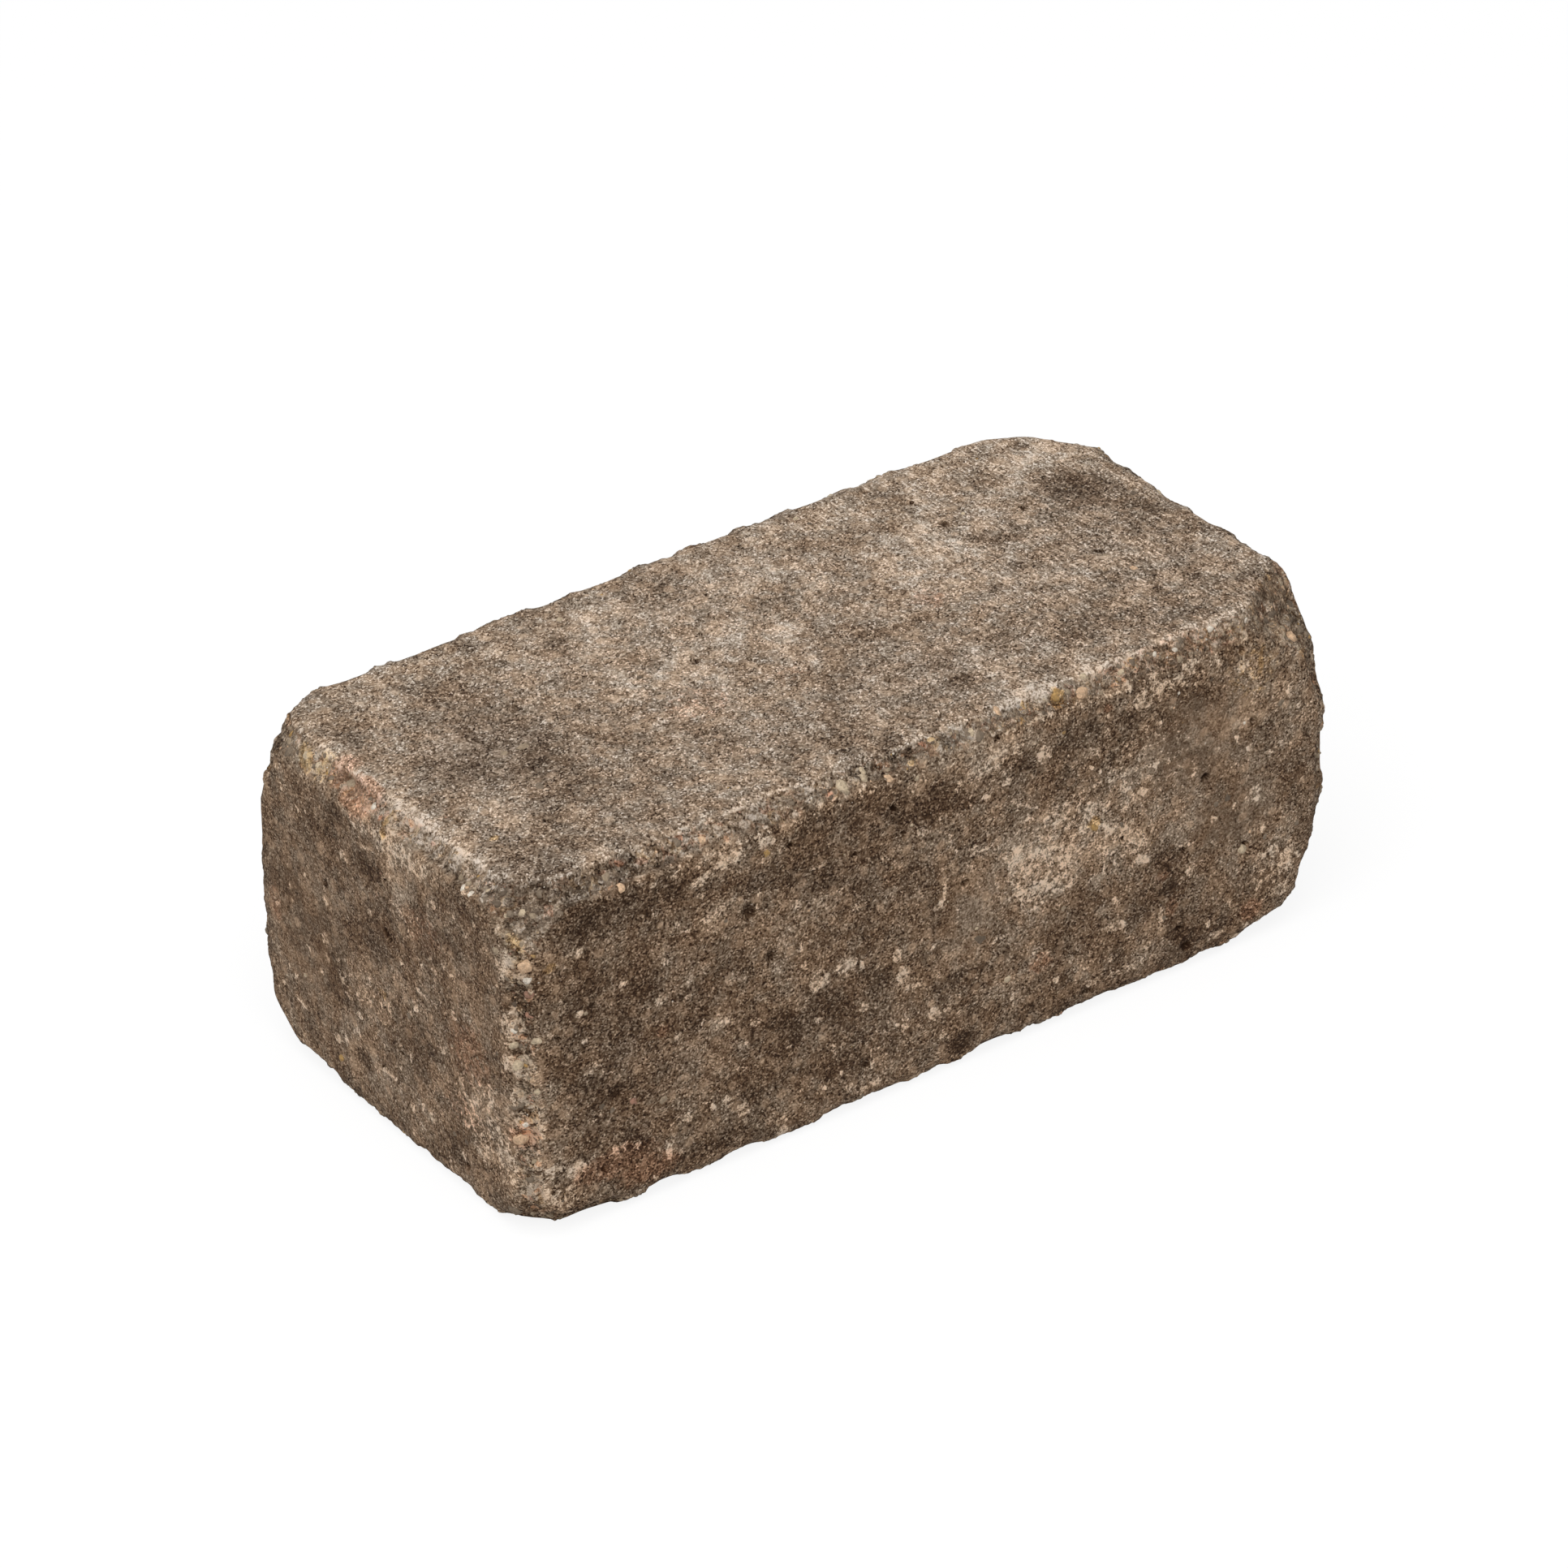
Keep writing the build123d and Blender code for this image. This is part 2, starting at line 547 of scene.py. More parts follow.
# The stains that show in the photograph, as rows of their place across and along the side from its middle
# and their half width and half height, in mm, and then their turn in degrees and their strength.
FRONT_STAINS: Marks = {
    Tone.PALE: (
        (27, 9, 6, 5, 0, 0.62), (36, 7, 8, 5.5, 0, 0.58), (46, 2, 5, 4.5, 0, 0.6), (34, -6, 9, 5, 0, 0.62),
        (44, -8, 6, 4, 0, 0.6), (31, 25, 7, 0.9, -31, 0.9), (44, 17.5, 5, 1, -25, 0.9),
        (15, 15.5, 6, 0.9, 4, 0.8), (38.5, 39.5, 3, 3.4, 0, 0.9), (21, 46.5, 4, 1.8, 0, 0.8),
        (16.5, 41.5, 2, 1.2), (25, 35.5, 2.5, 1.6, 0, 0.7), (1, 6.5, 0.9, 4, -8, 0.9), (-2.5, 2, 1.3, 1.3),
        (-6, 29.5, 3.5, 1.3, -18, 0.8), (-17, -9, 1.8, 2.6), (-15, -16.5, 2.3, 3.4),
        (-13.5, -22, 1, 2, 0, 0.7), (-29.5, -22.5, 1.5, 2.4, 0, 0.8), (-35.5, -5, 3.8, 3.2, 0, 0.9),
        (-45.5, -6.5, 4.5, 4, 0, 0.7), (-41, -33, 1.8, 2.8, 0, 0.7), (-44, 32.5, 5, 0.8, 0, 0.7),
        (-4, -35, 2.3, 2.6), (0.8, -34.8, 2.2, 1.6, 0, 0.7), (-15.5, -35, 1, 3, 8, 0.7),
        (-27.5, -42, 0.9, 4.5, 0, 0.7), (-85.5, 39, 1.8, 1.3), (-85, 44, 5, 2.4, 10, 0.8),
        (-76, 47, 5, 2.6, 0, 0.7), (-62, 47.5, 3, 2.2), (-82, 31, 5, 2.2, 10, 0.7),
        (-76, 33, 4, 1.1, 0, 0.7), (-95, 31.5, 2.6, 2, 0, 0.6), (-102, 48.5, 1.2, 0.9),
        (-94, 49, 2.6, 1.2, 20, 0.8), (-91.5, 6.5, 1.6, 0.9), (-96, -5.5, 1.6, 0.8),
        (-126, -4.5, 5, 3, 0, 0.55), (-131, 38, 1.1, 2, 0, 0.7), (-85, -35, 1.2, 1.3),
        (-74.5, -39, 2.4, 1.1), (-74, -41.7, 3.4, 0.9, 0, 0.8), (-74, -26, 2.8, 1.9, 0, 0.5),
        (-68.5, -12, 2.4, 1.8, 0, 0.7), (-118, -36, 3.2, 3.4, 0, 0.6), (-133, -37, 4.6, 2.8, 0, 0.8),
        (-141, -34.5, 3.6, 2.4, 0, 0.7), (-101, -44, 1.3, 3.4, 0, 0.9), (-97.5, -46, 1.5, 1.2),
        (-96, -35, 5, 2.4, 0, 0.5), (57.5, 34, 3.4, 1.2, -28, 0.9), (61.5, 29, 1.6, 1.2, 0, 0.7),
        (62.5, 3.8, 2.2, 1.8), (62, -3, 1.2, 3, 15, 0.6), (71, -1, 9, 1.9, -51),
        (75, -11, 4, 1.7, -20, 0.9), (69, 17, 2.8, 2.2, 0, 0.7), (75, 13, 2.6, 1.7, -20, 0.9),
        (80, 20, 1.3, 1.5, 0, 0.8), (76, 43.5, 3.4, 1.9), (82.5, 46.5, 4, 1.3, 28, 0.9),
        (88.5, 46, 3, 1.6, 38, 0.8), (94, 50.5, 4, 1.2, 8, 0.9), (116.5, 13, 1.2, 1.2),
        (113, 43, 3, 1.8, -50, 0.8), (117.5, 39, 1.8, 2.2, 0, 0.7), (103, -16, 1.8, 0.9, -40, 0.9),
        (91.5, -12.5, 2.8, 1.1, -20, 0.7), (94, -22, 2.8, 3, 0, 0.5), (82, -34, 1.3, 4, 0, 0.7),
        (65.5, -31, 4, 2.4, 0, 0.6), (64.5, -22, 1.2, 2.8, 20, 0.7), (77, -43, 2.2, 2.2, 0, 0.6),
        (119, -4, 3.6, 4, 0, 0.5), (124, -27.5, 7, 2.4, 0, 0.7), (130, -34, 3.6, 3.4, 0, 0.7),
        (129, -43, 5, 3, 0, 0.7), (136, 21, 0.8, 1.5), (56, -48, 3, 2, 0, 0.7), (-146, -41, 4, 8, 0, 0.6),
        (20, -18.5, 5, 1.4, 0, 0.5), (35, -12, 3, 2.2, 0, 0.5), (26, -41, 1.6, 5, 0, 0.4),
        (-28, -50, 9, 3, 0, 0.5), (103, -50, 4, 2, 0, 0.8), (70, -48, 10, 2.4, 0, 0.45),
        (37, 1, 15, 11, -10, 0.43), (-147, -10, 4, 42, 0, 0.5), (-60, 53, 60, 5, 0, 0.42),
        (60, 54, 60, 5, 0, 0.45), (75, 20, 26, 20, 0, 0.33), (-20, -38, 40, 14, 0, 0.3),
        (50, 14, 18, 9, -15, 0.45), (68, -4, 12, 14, 30, 0.42), (20, 43, 18, 7, 12, 0.45),
        (84, 47, 22, 5, 4, 0.45), (126, -35, 14, 12, 0, 0.45), (-148.5, 36, 3.6, 7, 0, 0.8),
        (-149, 15, 3, 9, 0, 0.85), (-147.5, 2, 4, 4, 0, 0.9), (-148, -9, 3, 5, 0, 0.7),
        (-146.5, -22, 3, 5, 0, 0.6), (-139, -45, 9, 6, 0, 0.55),
    ),
    Tone.LIGHT: (
        (60, 2, 52, 24, 0, 0.6), (112, 8, 34, 36, 0, 0.4), (40, -2, 17, 14, 0, 0.15),
        (14, 50, 34, 7, 0, 0.5), (50, -40, 12, 9, 0, 0.5), (124, 20, 16, 22, 0, 0.4),
        (25, 18, 12, 9, 0, 0.35), (25, -36, 12, 9, 0, 0.45),
    ),
    Tone.DARK: (
        (-118, 0, 24, 44, 0, 0.3), (-115, 45, 28, 8, 0, 0.8), (-112, 18, 16, 14, 0, 0.5),
        (-108, -18, 14, 9, 0, 0.5), (-42, -18, 11, 8, 0, 0.7), (-38, -42, 12, 8, 0, 0.6),
        (-58, -22, 8, 12, 0, 0.6), (-33, 27, 16, 6, 0, 0.5), (-4, 38, 22, 7, 0, 0.6),
        (30, 38, 10, 8, 0, 0.5), (58, 40, 16, 5, 0, 0.5), (48, -22, 8, 6, 0, 0.7), (86, -16, 7, 5, 0, 0.9),
        (84, -26, 7, 5, 0, 0.8), (94, -42, 12, 7, 0, 0.6), (-113, -37, 6, 5, 0, 0.8),
        (-86, -48, 13, 5, 0, 0.8), (6, -50, 6, 4, 0, 1.2), (-69.5, 27, 2.4, 3, 0, 1.8),
        (-62, 8.5, 1.8, 2.4, 0, 1.8), (-118, -16, 3, 3.4, 0, 1.5), (-30, -43, 1.2, 2.8, 0, 1.8),
        (99.5, 8.8, 1.5, 1.2, 0, 2.6), (92, -49, 2.4, 1.6, 0, 2), (49, -22, 12, 16, 0, 0.5),
        (-55, 32, 18, 11, 0, 0.35), (-99, 0, 12, 10, 0, 0.5), (-25, -27, 12, 18, 0, 0.4),
        (-74, -27, 12, 16, 0, 0.3), (-124, -2, 13, 50, 0, 0.45),
    ),
    Tone.OCHRE: (
        (118, 40, 13, 12, 0, 0.35), (57, 9, 2.6, 2.2), (-146.5, 44, 3, 4, 0, 0.7),
        (-138.5, 35, 2.4, 1.6, 0, 0.9), (121, 42, 1.2, 6, 0, 0.7), (46, 55, 2.6, 3),
    ),
    Tone.GRAVEL: (
        (60, 55, 75, 6), (-15, 54, 32, 7, 0, 0.7), (-148, 8, 7, 46, 0, 0.9), (124, 44, 22, 18, 0, 0.9),
        (147, -5, 8, 50, 0, 0.7),
    ),
    Tone.TAN: (
        (-101, 26, 3.8, 3.2), (-89, 12.5, 3.4, 2.8), (-81.5, 27, 3, 3), (-76.5, 6, 3.4, 2.8),
        (-82, -6.5, 3.8, 3.4), (-131.5, 27, 3, 2.8), (-135.5, -16, 3.2, 2.6), (-112.5, -21.5, 2.4, 3),
        (-60, 4, 2.4, 2.4), (-52, -12, 3.4, 2.6), (-94, -33, 3.4, 3.2), (-9.5, 8, 2.6, 2.2),
        (-8.5, 46, 1.8, 3.4), (3, -16, 4.2, 2.8), (46, -15, 4.2, 3.4), (60, -24, 3, 2.8),
        (113, 23, 3.6, 2.4), (57, -12, 4, 4), (-50, 16, 17, 12, 0, 0.35), (97, 20, 22, 17, 0, 0.3),
        (55, 24, 16, 9, 0, 0.35), (42, 0, 24, 17, 0, 0.4), (-145, -20, 4, 10, 0, 0.6),
    ),
    Tone.RUST: (
        (-120, -40, 15, 6, 0, 0.8), (-108, -47, 12, 5, 0, 0.8), (-148, -22, 3.6, 5),
        (36, -33, 5, 4, 0, 0.6), (83, -20.5, 3.4, 2.2, 0, 0.7), (86, -33, 3, 4, 0, 0.6),
        (117, -46, 5, 4, 0, 0.9), (-101, -2, 2.4, 2.2, 0, 0.8), (62.5, 47, 1.8, 1.6),
    ),
    Tone.COOL: (
        (-66, 36, 3.6, 3.6), (-114.5, -3, 5.5, 4), (-94, -14, 6, 4, 0, 0.7), (-124, -24.5, 7, 3.4, 0, 0.8),
        (-132, 50, 18, 7, 0, 0.7),
    ),
    Tone.SMOOTH: (
        (96, 22, 22, 17), (110, -8, 17, 12, 0, 0.9), (8, -6, 14, 16, 0, 0.5), (122, -37, 5, 4),
    ),
}
LEFT_STAINS: Marks = {
    Tone.PALE: (
        (-8, 42, 2.4, 1.8), (5, 41, 5, 1.4, -15, 0.6), (-28.5, 15.5, 2, 1.3, 0, 0.9),
        (-34, 20.3, 1.2, 0.9), (-9, 28.5, 2.4, 0.9, 0, 0.8), (-37.5, 5, 2.4, 1.6, 20, 0.8),
        (-20, 3.6, 4, 0.9, 10, 0.8), (-66, 3, 3, 3.4), (-22, -39, 1.9, 1.9, 0, 1.1),
        (30, -38, 1.9, 1.9, 0, 1.1), (-50, -36.5, 4, 2.8, -30, 0.9), (50, -36, 5, 1.2, 15, 0.7),
        (24, -14, 4, 3.2, 0, 0.5), (21.5, -19, 3, 0.9, 15, 0.8), (33, -11, 2.4, 0.9, 50, 0.8),
        (-40, -18, 1.6, 1.2, 30), (-56, -13, 1.8, 4.6, 0, 0.7), (2, -36, 6, 1.4, 0, 0.7),
        (16, -23, 2, 1.4, 0, 0.8), (-12, -23, 1.2, 2.8, 0, 0.6), (-62, -33, 9, 8, 0, 0.35),
        (-71, -42, 5, 8, 0, 0.7), (52, 4.5, 1, 1.4, 0, 0.8), (39, 37.5, 1.2, 1.2, 0, 0.8),
        (17, 31, 1.2, 0.8, 0, 0.9), (-43, -21, 3, 1, 20, 0.7), (-52, -25, 20, 16, 20, 0.42),
        (12, -12, 22, 9, 10, 0.36), (-12, 48, 26, 5, 0, 0.55),
    ),
    Tone.LIGHT: (
        (-60, -30, 16, 24, 0, 0.5), (-5, -5, 26, 16, 0, 0.3), (-5, 51, 42, 5, 0, 0.6),
        (0, -36, 60, 12, 0, 0.3), (-10, 36, 12, 10, 0, 0.4),
    ),
    Tone.GRAVEL: (
        (35, 55, 40, 6, 0, 0.7), (-58, 55, 15, 6, 0, 0.8),
    ),
    Tone.RUST: (
        (-23, 27, 13, 8, 0, 0.45), (-45, -4, 13, 12, 0, 0.55), (-40, -27, 12, 6, 0, 0.4),
        (62, -6, 4, 9, 0, 0.5), (12, 54, 9, 4, -10, 1.3),
    ),
    Tone.TAN: (
        (-10, 36, 8, 6, 0, 0.6), (-40, -25, 17, 8, 0, 0.6), (-8, 3, 14, 10, 0, 0.35),
        (-62, -22, 10, 18, 0, 0.6),
    ),
    Tone.OCHRE: (
        (2, -8, 2.4, 1.8, 0, 0.6), (41, 54, 5, 2.8, 25, 0.8), (-4, 53, 1.6, 5, 0, 0.7),
    ),
    Tone.DARK: (
        (31, 16, 1.4, 1.6, 0, 1.8), (-2.6, 16, 1.3, 1.2, 0, 2.2), (22, 44, 7, 4, 0, 0.9),
        (4, 34, 7, 4, 0, 0.9), (30, 40, 26, 9, 0, 0.4), (-45, 44, 20, 7, 0, 0.4), (15, -38, 5, 4, 0, 0.9),
        (-36, -42, 8, 6, 0, 0.9), (-40, 36, 16, 10, 0, 0.3), (10, 12, 12, 10, 0, 0.4),
    ),
    Tone.SMOOTH: (
        (45, -5, 22, 26, 0, 0.7),
    ),
}
TOP_STAINS: Marks = {
    Tone.TAN: (
        (-13, 18, 10, 8, 0, 0.9), (27, 26, 10, 5, 20, 0.7), (-37, 7, 12, 9, 0, 0.9),
        (-42, -10, 13, 10, 0, 0.5), (57, 30, 15, 11, 0, 0.6), (68, 16, 12, 10, 0, 0.6),
        (3, 8, 8, 6, 0, 0.7), (90, 27, 12, 4.5, 25), (104, 35, 5.5, 4.5, 0, 1.1), (115, 42, 26, 3.2, 29),
        (-76, 52, 6, 5, 0, 0.9), (-36, 51, 9, 7, 0, 0.8), (-46, 34, 8, 6, 0, 0.6),
        (-52, 10, 4, 12, 0, 0.6), (84, -15, 8, 4, 0, 0.8), (37, -58, 7, 7, 0, 0.7),
        (48, -66, 16, 5, 0, 0.8), (102, -36, 6, 6, 0, 0.8), (92, -43, 5, 4, 0, 0.8),
        (127, -45, 7, 8, 0, 0.6), (-133, 12, 5, 22, 0, 0.5), (-130, 57, 10, 5, 0, 0.7),
        (45, 0, 9, 12, 0, 0.5), (-130, -25, 12, 7, 0, 0.5),
    ),
    Tone.PALE: (
        (-63, -68, 17, 3.2, 3, 1.25), (-94, -69, 14, 2.4, 0, 0.9), (37, -67, 11, 4, 0, 1.05),
        (66, -69, 14, 2.6, 0, 0.9), (104, -68, 18, 3, 0, 0.75), (-144.5, -12, 4, 17, 0, 1.15),
        (-144.5, -42, 3.4, 14, 0, 0.95), (-146, 34, 5, 10, 0, 0.7), (-128, -65, 12, 4, 15, 0.5),
        (-112, -62, 3.4, 4, 0, 0.6), (-4, -66, 4, 1.3, -20, 0.9), (38, -54, 1.5, 4, 0, 0.8),
        (73, -8, 1.3, 4.4, 8, 0.9), (62, 3, 5, 2, 20, 0.5), (-83, 57, 1.5, 1.6),
        (-76, 41, 1.7, 1.7, 0, 0.9), (-76.5, 1.5, 1.1, 2.2), (-53, 4, 1.4, 4, 0, 0.7),
        (15.5, 46, 1.4, 1, 40), (33, -68, 6, 2.4, 0, 0.6), (13.5, -57, 1.2, 1), (-146, 5, 2.6, 2.2),
        (-147, -9, 4, 8, 0, 0.8), (-147, -32, 2.4, 6, 0, 0.6), (-148, -47, 2.6, 2.2, 0, 1.2),
        (22, -31, 1.2, 4, 0, 0.6), (77, -68, 4, 1.8, 0, 0.9), (60, -66, 3, 2.2, 0, 0.7),
    ),
    Tone.LIGHT: (
        (58, 24, 40, 24, 25, 0.45), (-35, 15, 34, 24, 0, 0.35), (80, -20, 30, 20, 0, 0.3),
        (-60, 50, 40, 14, 0, 0.3), (-145, 0, 8, 60, 0, 1), (-35, 20, 30, 34, 0, 0.3),
        (124, 48, 13, 12, 0, 0.6), (12, 40, 28, 16, 0, 0.4), (15, 3, 40, 14, 0, 0.35),
        (-49, -24, 13, 12, 0, 0.4), (-74, 36, 12, 22, 0, 0.25),
    ),
    Tone.DARK: (
        (-136, -62, 16, 9, 0, 0.5), (-20, -69, 14, 4, 0, 0.7), (-107, 2, 22, 15, 0, 0.55),
        (-100, -3, 14, 5, 0, 0.5), (-112, 16, 16, 6, 0, 0.3), (24, -49, 8, 3.4, 0, 1.2),
        (12, -53, 26, 6, 0, 0.45), (-11, -64, 5, 4, 0, 1.2), (82, 18, 5, 3.2, 0, 1.2),
        (88, 12, 6, 3.4, -20, 0.9), (68, -12, 4, 3.4, 0, 1.1), (80, -5, 6, 3.4, 30, 1),
        (132, 4, 7, 4.4, 0, 0.9), (134, -52, 6, 3.4, 20, 1.2), (104, -56, 22, 7, 0, 0.5),
        (52, -60, 8, 6, 0, 0.5), (-88, -56, 14, 6, 0, 0.55), (-122, -50, 17, 9, 0, 0.5),
        (-144, -66, 8, 8, 0, 1), (63, 6, 5, 3, 20, 0.6), (-56, 45, 5, 3, 0, 0.8), (25, 12, 12, 6, 0, 0.4),
        (-29.5, 9.5, 1.9, 1.3, 0, 2.4), (79, 30, 1.3, 1.5, 0, 2.2), (86, 11.5, 2.2, 1.6, 0, 1.8),
        (29.5, -11, 1.5, 1, 0, 2.2), (125, 56, 5, 3, 0, 0.9), (-99, 0, 13, 50, 0, 0.75),
        (-100, -44, 30, 22, 20, 0.4), (-10, -50, 40, 12, 0, 0.35), (112, -20, 30, 34, 0, 0.4),
        (74, -48, 12, 10, 0, 0.6), (124, 24, 13, 13, 0, 1.3), (74, -24, 12, 12, 0, 0.45),
        (99, 24, 14, 12, 0, 0.3),
    ),
    Tone.OCHRE: (
        (-132, -37, 1.7, 1.3), (-147, 33, 6, 5, 0, 0.5),
    ),
    Tone.RUST: (
        (-147, 11, 5, 9, 0, 1.4), (-144, 25, 6, 5, 0, 0.8), (-42, -12, 14, 12, 0, 0.35),
        (48, -4, 6, 7, 0, 0.55), (-10, -14, 10, 6, 0, 0.3), (90, -70, 30, 4, 0, 0.4),
    ),
    Tone.COOL: (
        (-107, 3, 24, 16, 0, 0.8), (5, -38, 60, 16, 0, 0.35), (110, -2, 18, 14, 0, 0.3),
        (-135, -60, 15, 12, 0, 0.8),
    ),
}


def seen_stains() -> list[Stain]:
    """The stains at the places where the photograph shows them."""
    sides = {Side.FRONT: FRONT_STAINS, Side.LEFT: LEFT_STAINS, Side.TOP: TOP_STAINS}
    tones = ((side, tone, rows) for side, marks in sides.items() for tone, rows in marks.items())
    return [Stain(side, tone, *row) for side, tone, rows in tones for row in rows]


@dataclass(frozen=True)
class HiddenStains:
    """Stains of the same kinds, scattered over the sides that the photograph hides."""

    seed: int = 11
    share: tuple[tuple[Tone, int, float, float], ...] = (
        (Tone.PALE, 34, 1.0, 3.6),
        (Tone.PALE, 4, 4.0, 8.0),
        (Tone.TAN, 16, 2.4, 4.2),
        (Tone.TAN, 5, 9.0, 20.0),
        (Tone.DARK, 12, 5.0, 16.0),
        (Tone.DARK, 6, 1.2, 2.6),
        (Tone.RUST, 6, 3.0, 11.0),
        (Tone.OCHRE, 3, 1.4, 2.6),
        (Tone.COOL, 5, 4.0, 9.0),
        (Tone.SMOOTH, 3, 12.0, 22.0),
        (Tone.LIGHT, 5, 14.0, 40.0),
        (Tone.GRAVEL, 8, 14.0, 40.0),
    )

    def make(self, sides: Iterable[Side]) -> list[Stain]:
        """Draws the stains.

        Args:
            sides: the sides that get them.

        Returns:
            The stains.
        """
        draw = np.random.default_rng(self.seed)
        stains = []
        for side in sides:
            first, second = side.value[2:]
            for tone, count, least, most in self.share:
                for _ in range(count):
                    wide = draw.uniform(least, most)
                    tall = wide * draw.uniform(0.4, 1.0)
                    across = draw.uniform(-HALF[first], HALF[first])
                    along = draw.uniform(-HALF[second], HALF[second])
                    turn = draw.uniform(-60.0, 60.0)
                    strength = draw.uniform(0.4, 1.0)
                    stains.append(Stain(side, tone, across, along, wide, tall, turn, strength))
        return stains


@dataclass(frozen=True)
class ConcreteFinish:
    """Weathered sandy concrete: brown-grey, mottled, with worn edges that show sand and gravel."""

    top_green: float = 122.0
    side_green: float = 80.0
    top_most: float = 226.0
    side_most: float = 188.0
    top_light: float = 0.93
    side_light: float = 0.68
    top_warmth: float = 0.035
    side_warmth: float = 0.045
    mottle_size: float = 22.0
    mottle_gain: float = 74.0
    patch_gain: float = 11.0
    streak_gain: float = 90.0
    clump_size: float = 1.2
    clump_gain: float = 66.0
    sand_size: float = 0.5
    sand_gain: float = 70.0
    # How much darker the pin holes are painted, as painted shade.
    pinhole_shade: float = 44.0
    # How much darker the holes are painted, as painted shade in holes that the relief also sinks.
    hole_depth: float = 52.0
    disc_gain: float = 24.0
    pale_gain: float = 92.0
    torn_gain: float = 210.0
    worn_gain: float = 14.0
    worn_fall: float = 8.0
    lip_gain: float = 46.0
    # Painted light and shade that follow the relief: steps lighter per mm on raised places, darker in
    # hollows.
    relief_shade_gain: float = 8.0
    shade_gain: float = 30.0
    scratch_gain: float = 40.0
    coarse_height: float = 0.8
    grain_height: float = 0.22
    torn_height: float = 5.0
    trowel: tuple[float, float, float] = (0.56, 0.83, 0.0)

    def make(self) -> bpy.types.Material:
        """Builds the material."""
        graph = MaterialGraph("weathered_concrete")
        place = graph.attribute("place", "Vector")
        up = graph.attribute("upward").step(0.4, 0.8)
        calm = 1.0 - graph.attribute(Tone.SMOOTH.value).clamp() * 0.5
        rag = graph.cloud(place, 2.2, 4.0, 0.7, 5)
        worn = (graph.attribute("worn") + (rag - 0.5) * 2.2).step(0.35, 0.75)
        stone, stone_tone_and_crevice_shade, stone_pick = self._stones(graph, place, worn, rag)
        disc = self._discs(graph, place, rag)
        bare = graph.attribute("worn") * graph.cloud(place, 26.0, 2.0, 0.6, 43).step(0.36, 0.6) * 0.44
        pale = self._ragged(graph.attribute(Tone.PALE.value).high(bare), rag, 2.2, 0.12)
        pale = pale.high(self._flecks(graph, place, up, worn, rag))
        green = self._green(graph, place, up, calm, rag, disc)
        torn = graph.cloud(graph.swayed(place, 5.0, 1.5), 2.4, 4.0, 0.78, 27) - 0.5
        crumbs = graph.cloud(place, 1.7, 3.0, 0.75, 41).step(0.42, 0.6)
        green = green + pale * (0.35 + crumbs * 0.75 + torn * 3.5) * (1.0 - up * 0.35) * self.pale_gain
        lift = torn * self.torn_gain + self.worn_gain - up * self.worn_fall
        green = green + stone * stone_tone_and_crevice_shade + worn * lift
        green = green + self._lips(graph, place, rag) * self.lip_gain
        # Painted shade: holes that the relief sinks are also darkened.
        green = green - graph.holes(place) * (1.0 - pale) * self.hole_depth
        # Painted light and shade: raised places of the relief are lightened and its hollows darkened.
        green = green + graph.attribute("relief") * self.relief_shade_gain
        side = self._ramp(graph, green, self.side_light, self.side_warmth, self.side_most)
        top = self._ramp(graph, green, self.top_light, self.top_warmth, self.top_most)
        colour = graph.mix(up, side, top)
        colour = self._tinted(graph, place, colour, rag, disc, pale)
        colour = graph.mix(stone, colour, self._stone_tint(graph, colour, stone_pick))
        rough = graph.attribute("worn").clamp().high(graph.attribute(Tone.PALE.value).clamp() * 0.35)
        normal = self._relief(graph, place, rough, torn, calm)
        return graph.finish(colour, 0.93, normal, 0.2)

    @staticmethod
    def _ragged(cover: Wire, rag: Wire, gain: float = 2.2, border: float = 0.36) -> Wire:
        """A stain's mask, broken up towards its border.

        Args:
            cover: the stain's own soft spread, 1 in its middle.
            rag: the noise that breaks it up.
            gain: how much it is broken.
            border: how soft its border is.

        Returns:
            The mask.
        """
        return (cover + (rag - 0.5) * gain).step(0.5 - border / 2, 0.5 + border / 2) * cover.step(0.03, 0.3)

    def _green(self, graph: MaterialGraph, place: Wire, up: Wire, calm: Wire, rag: Wire, disc: Wire) -> Wire:
        """The brightness that shows, in 8-bit steps of green."""
        base = self.side_green + up * (self.top_green - self.side_green)
        loose = graph.swayed(place, 25.0, 10.0)
        mottle = graph.cloud(loose, self.mottle_size, 4.0, 0.8, 2) - 0.5
        patch = graph.cloud(loose, 15.0, 5.0, 0.75, 17).step(0.46, 0.53) * 2.0 - 1.0
        drawn = graph.vector("MULTIPLY", place, (1.0, 0.1, 1.0))
        scratch = graph.cloud(drawn, 0.7, 1.0, 0.6, 3).step(0.52, 0.66)
        light = (mottle * 3.0 + graph.split(place)[0] / 130.0).step(0.0, 0.5) * up
        long = graph.vector("MULTIPLY", place, (1.0, 0.3, 1.0))
        streak = graph.cloud(long, 7.0, 4.0, 0.75, 19) - 0.5
        green = base + mottle * self.mottle_gain + patch * self.patch_gain + streak * up * self.streak_gain
        green = green + self._grain(graph, place, up) * calm * (1.0 - disc * 0.4)
        green = green + scratch * light * self.scratch_gain
        tan = self._ragged(graph.attribute(Tone.TAN.value), rag, 1.6)
        # Darker stains, and painted shade in the pits that the strongest of them mark.
        dark = graph.attribute(Tone.DARK.value)
        shade = dark * 0.6 + self._ragged(dark, rag, 2.2, 0.3) * 0.5 - graph.attribute(Tone.LIGHT.value)
        return green + tan.high(disc) * self.disc_gain - shade * self.shade_gain

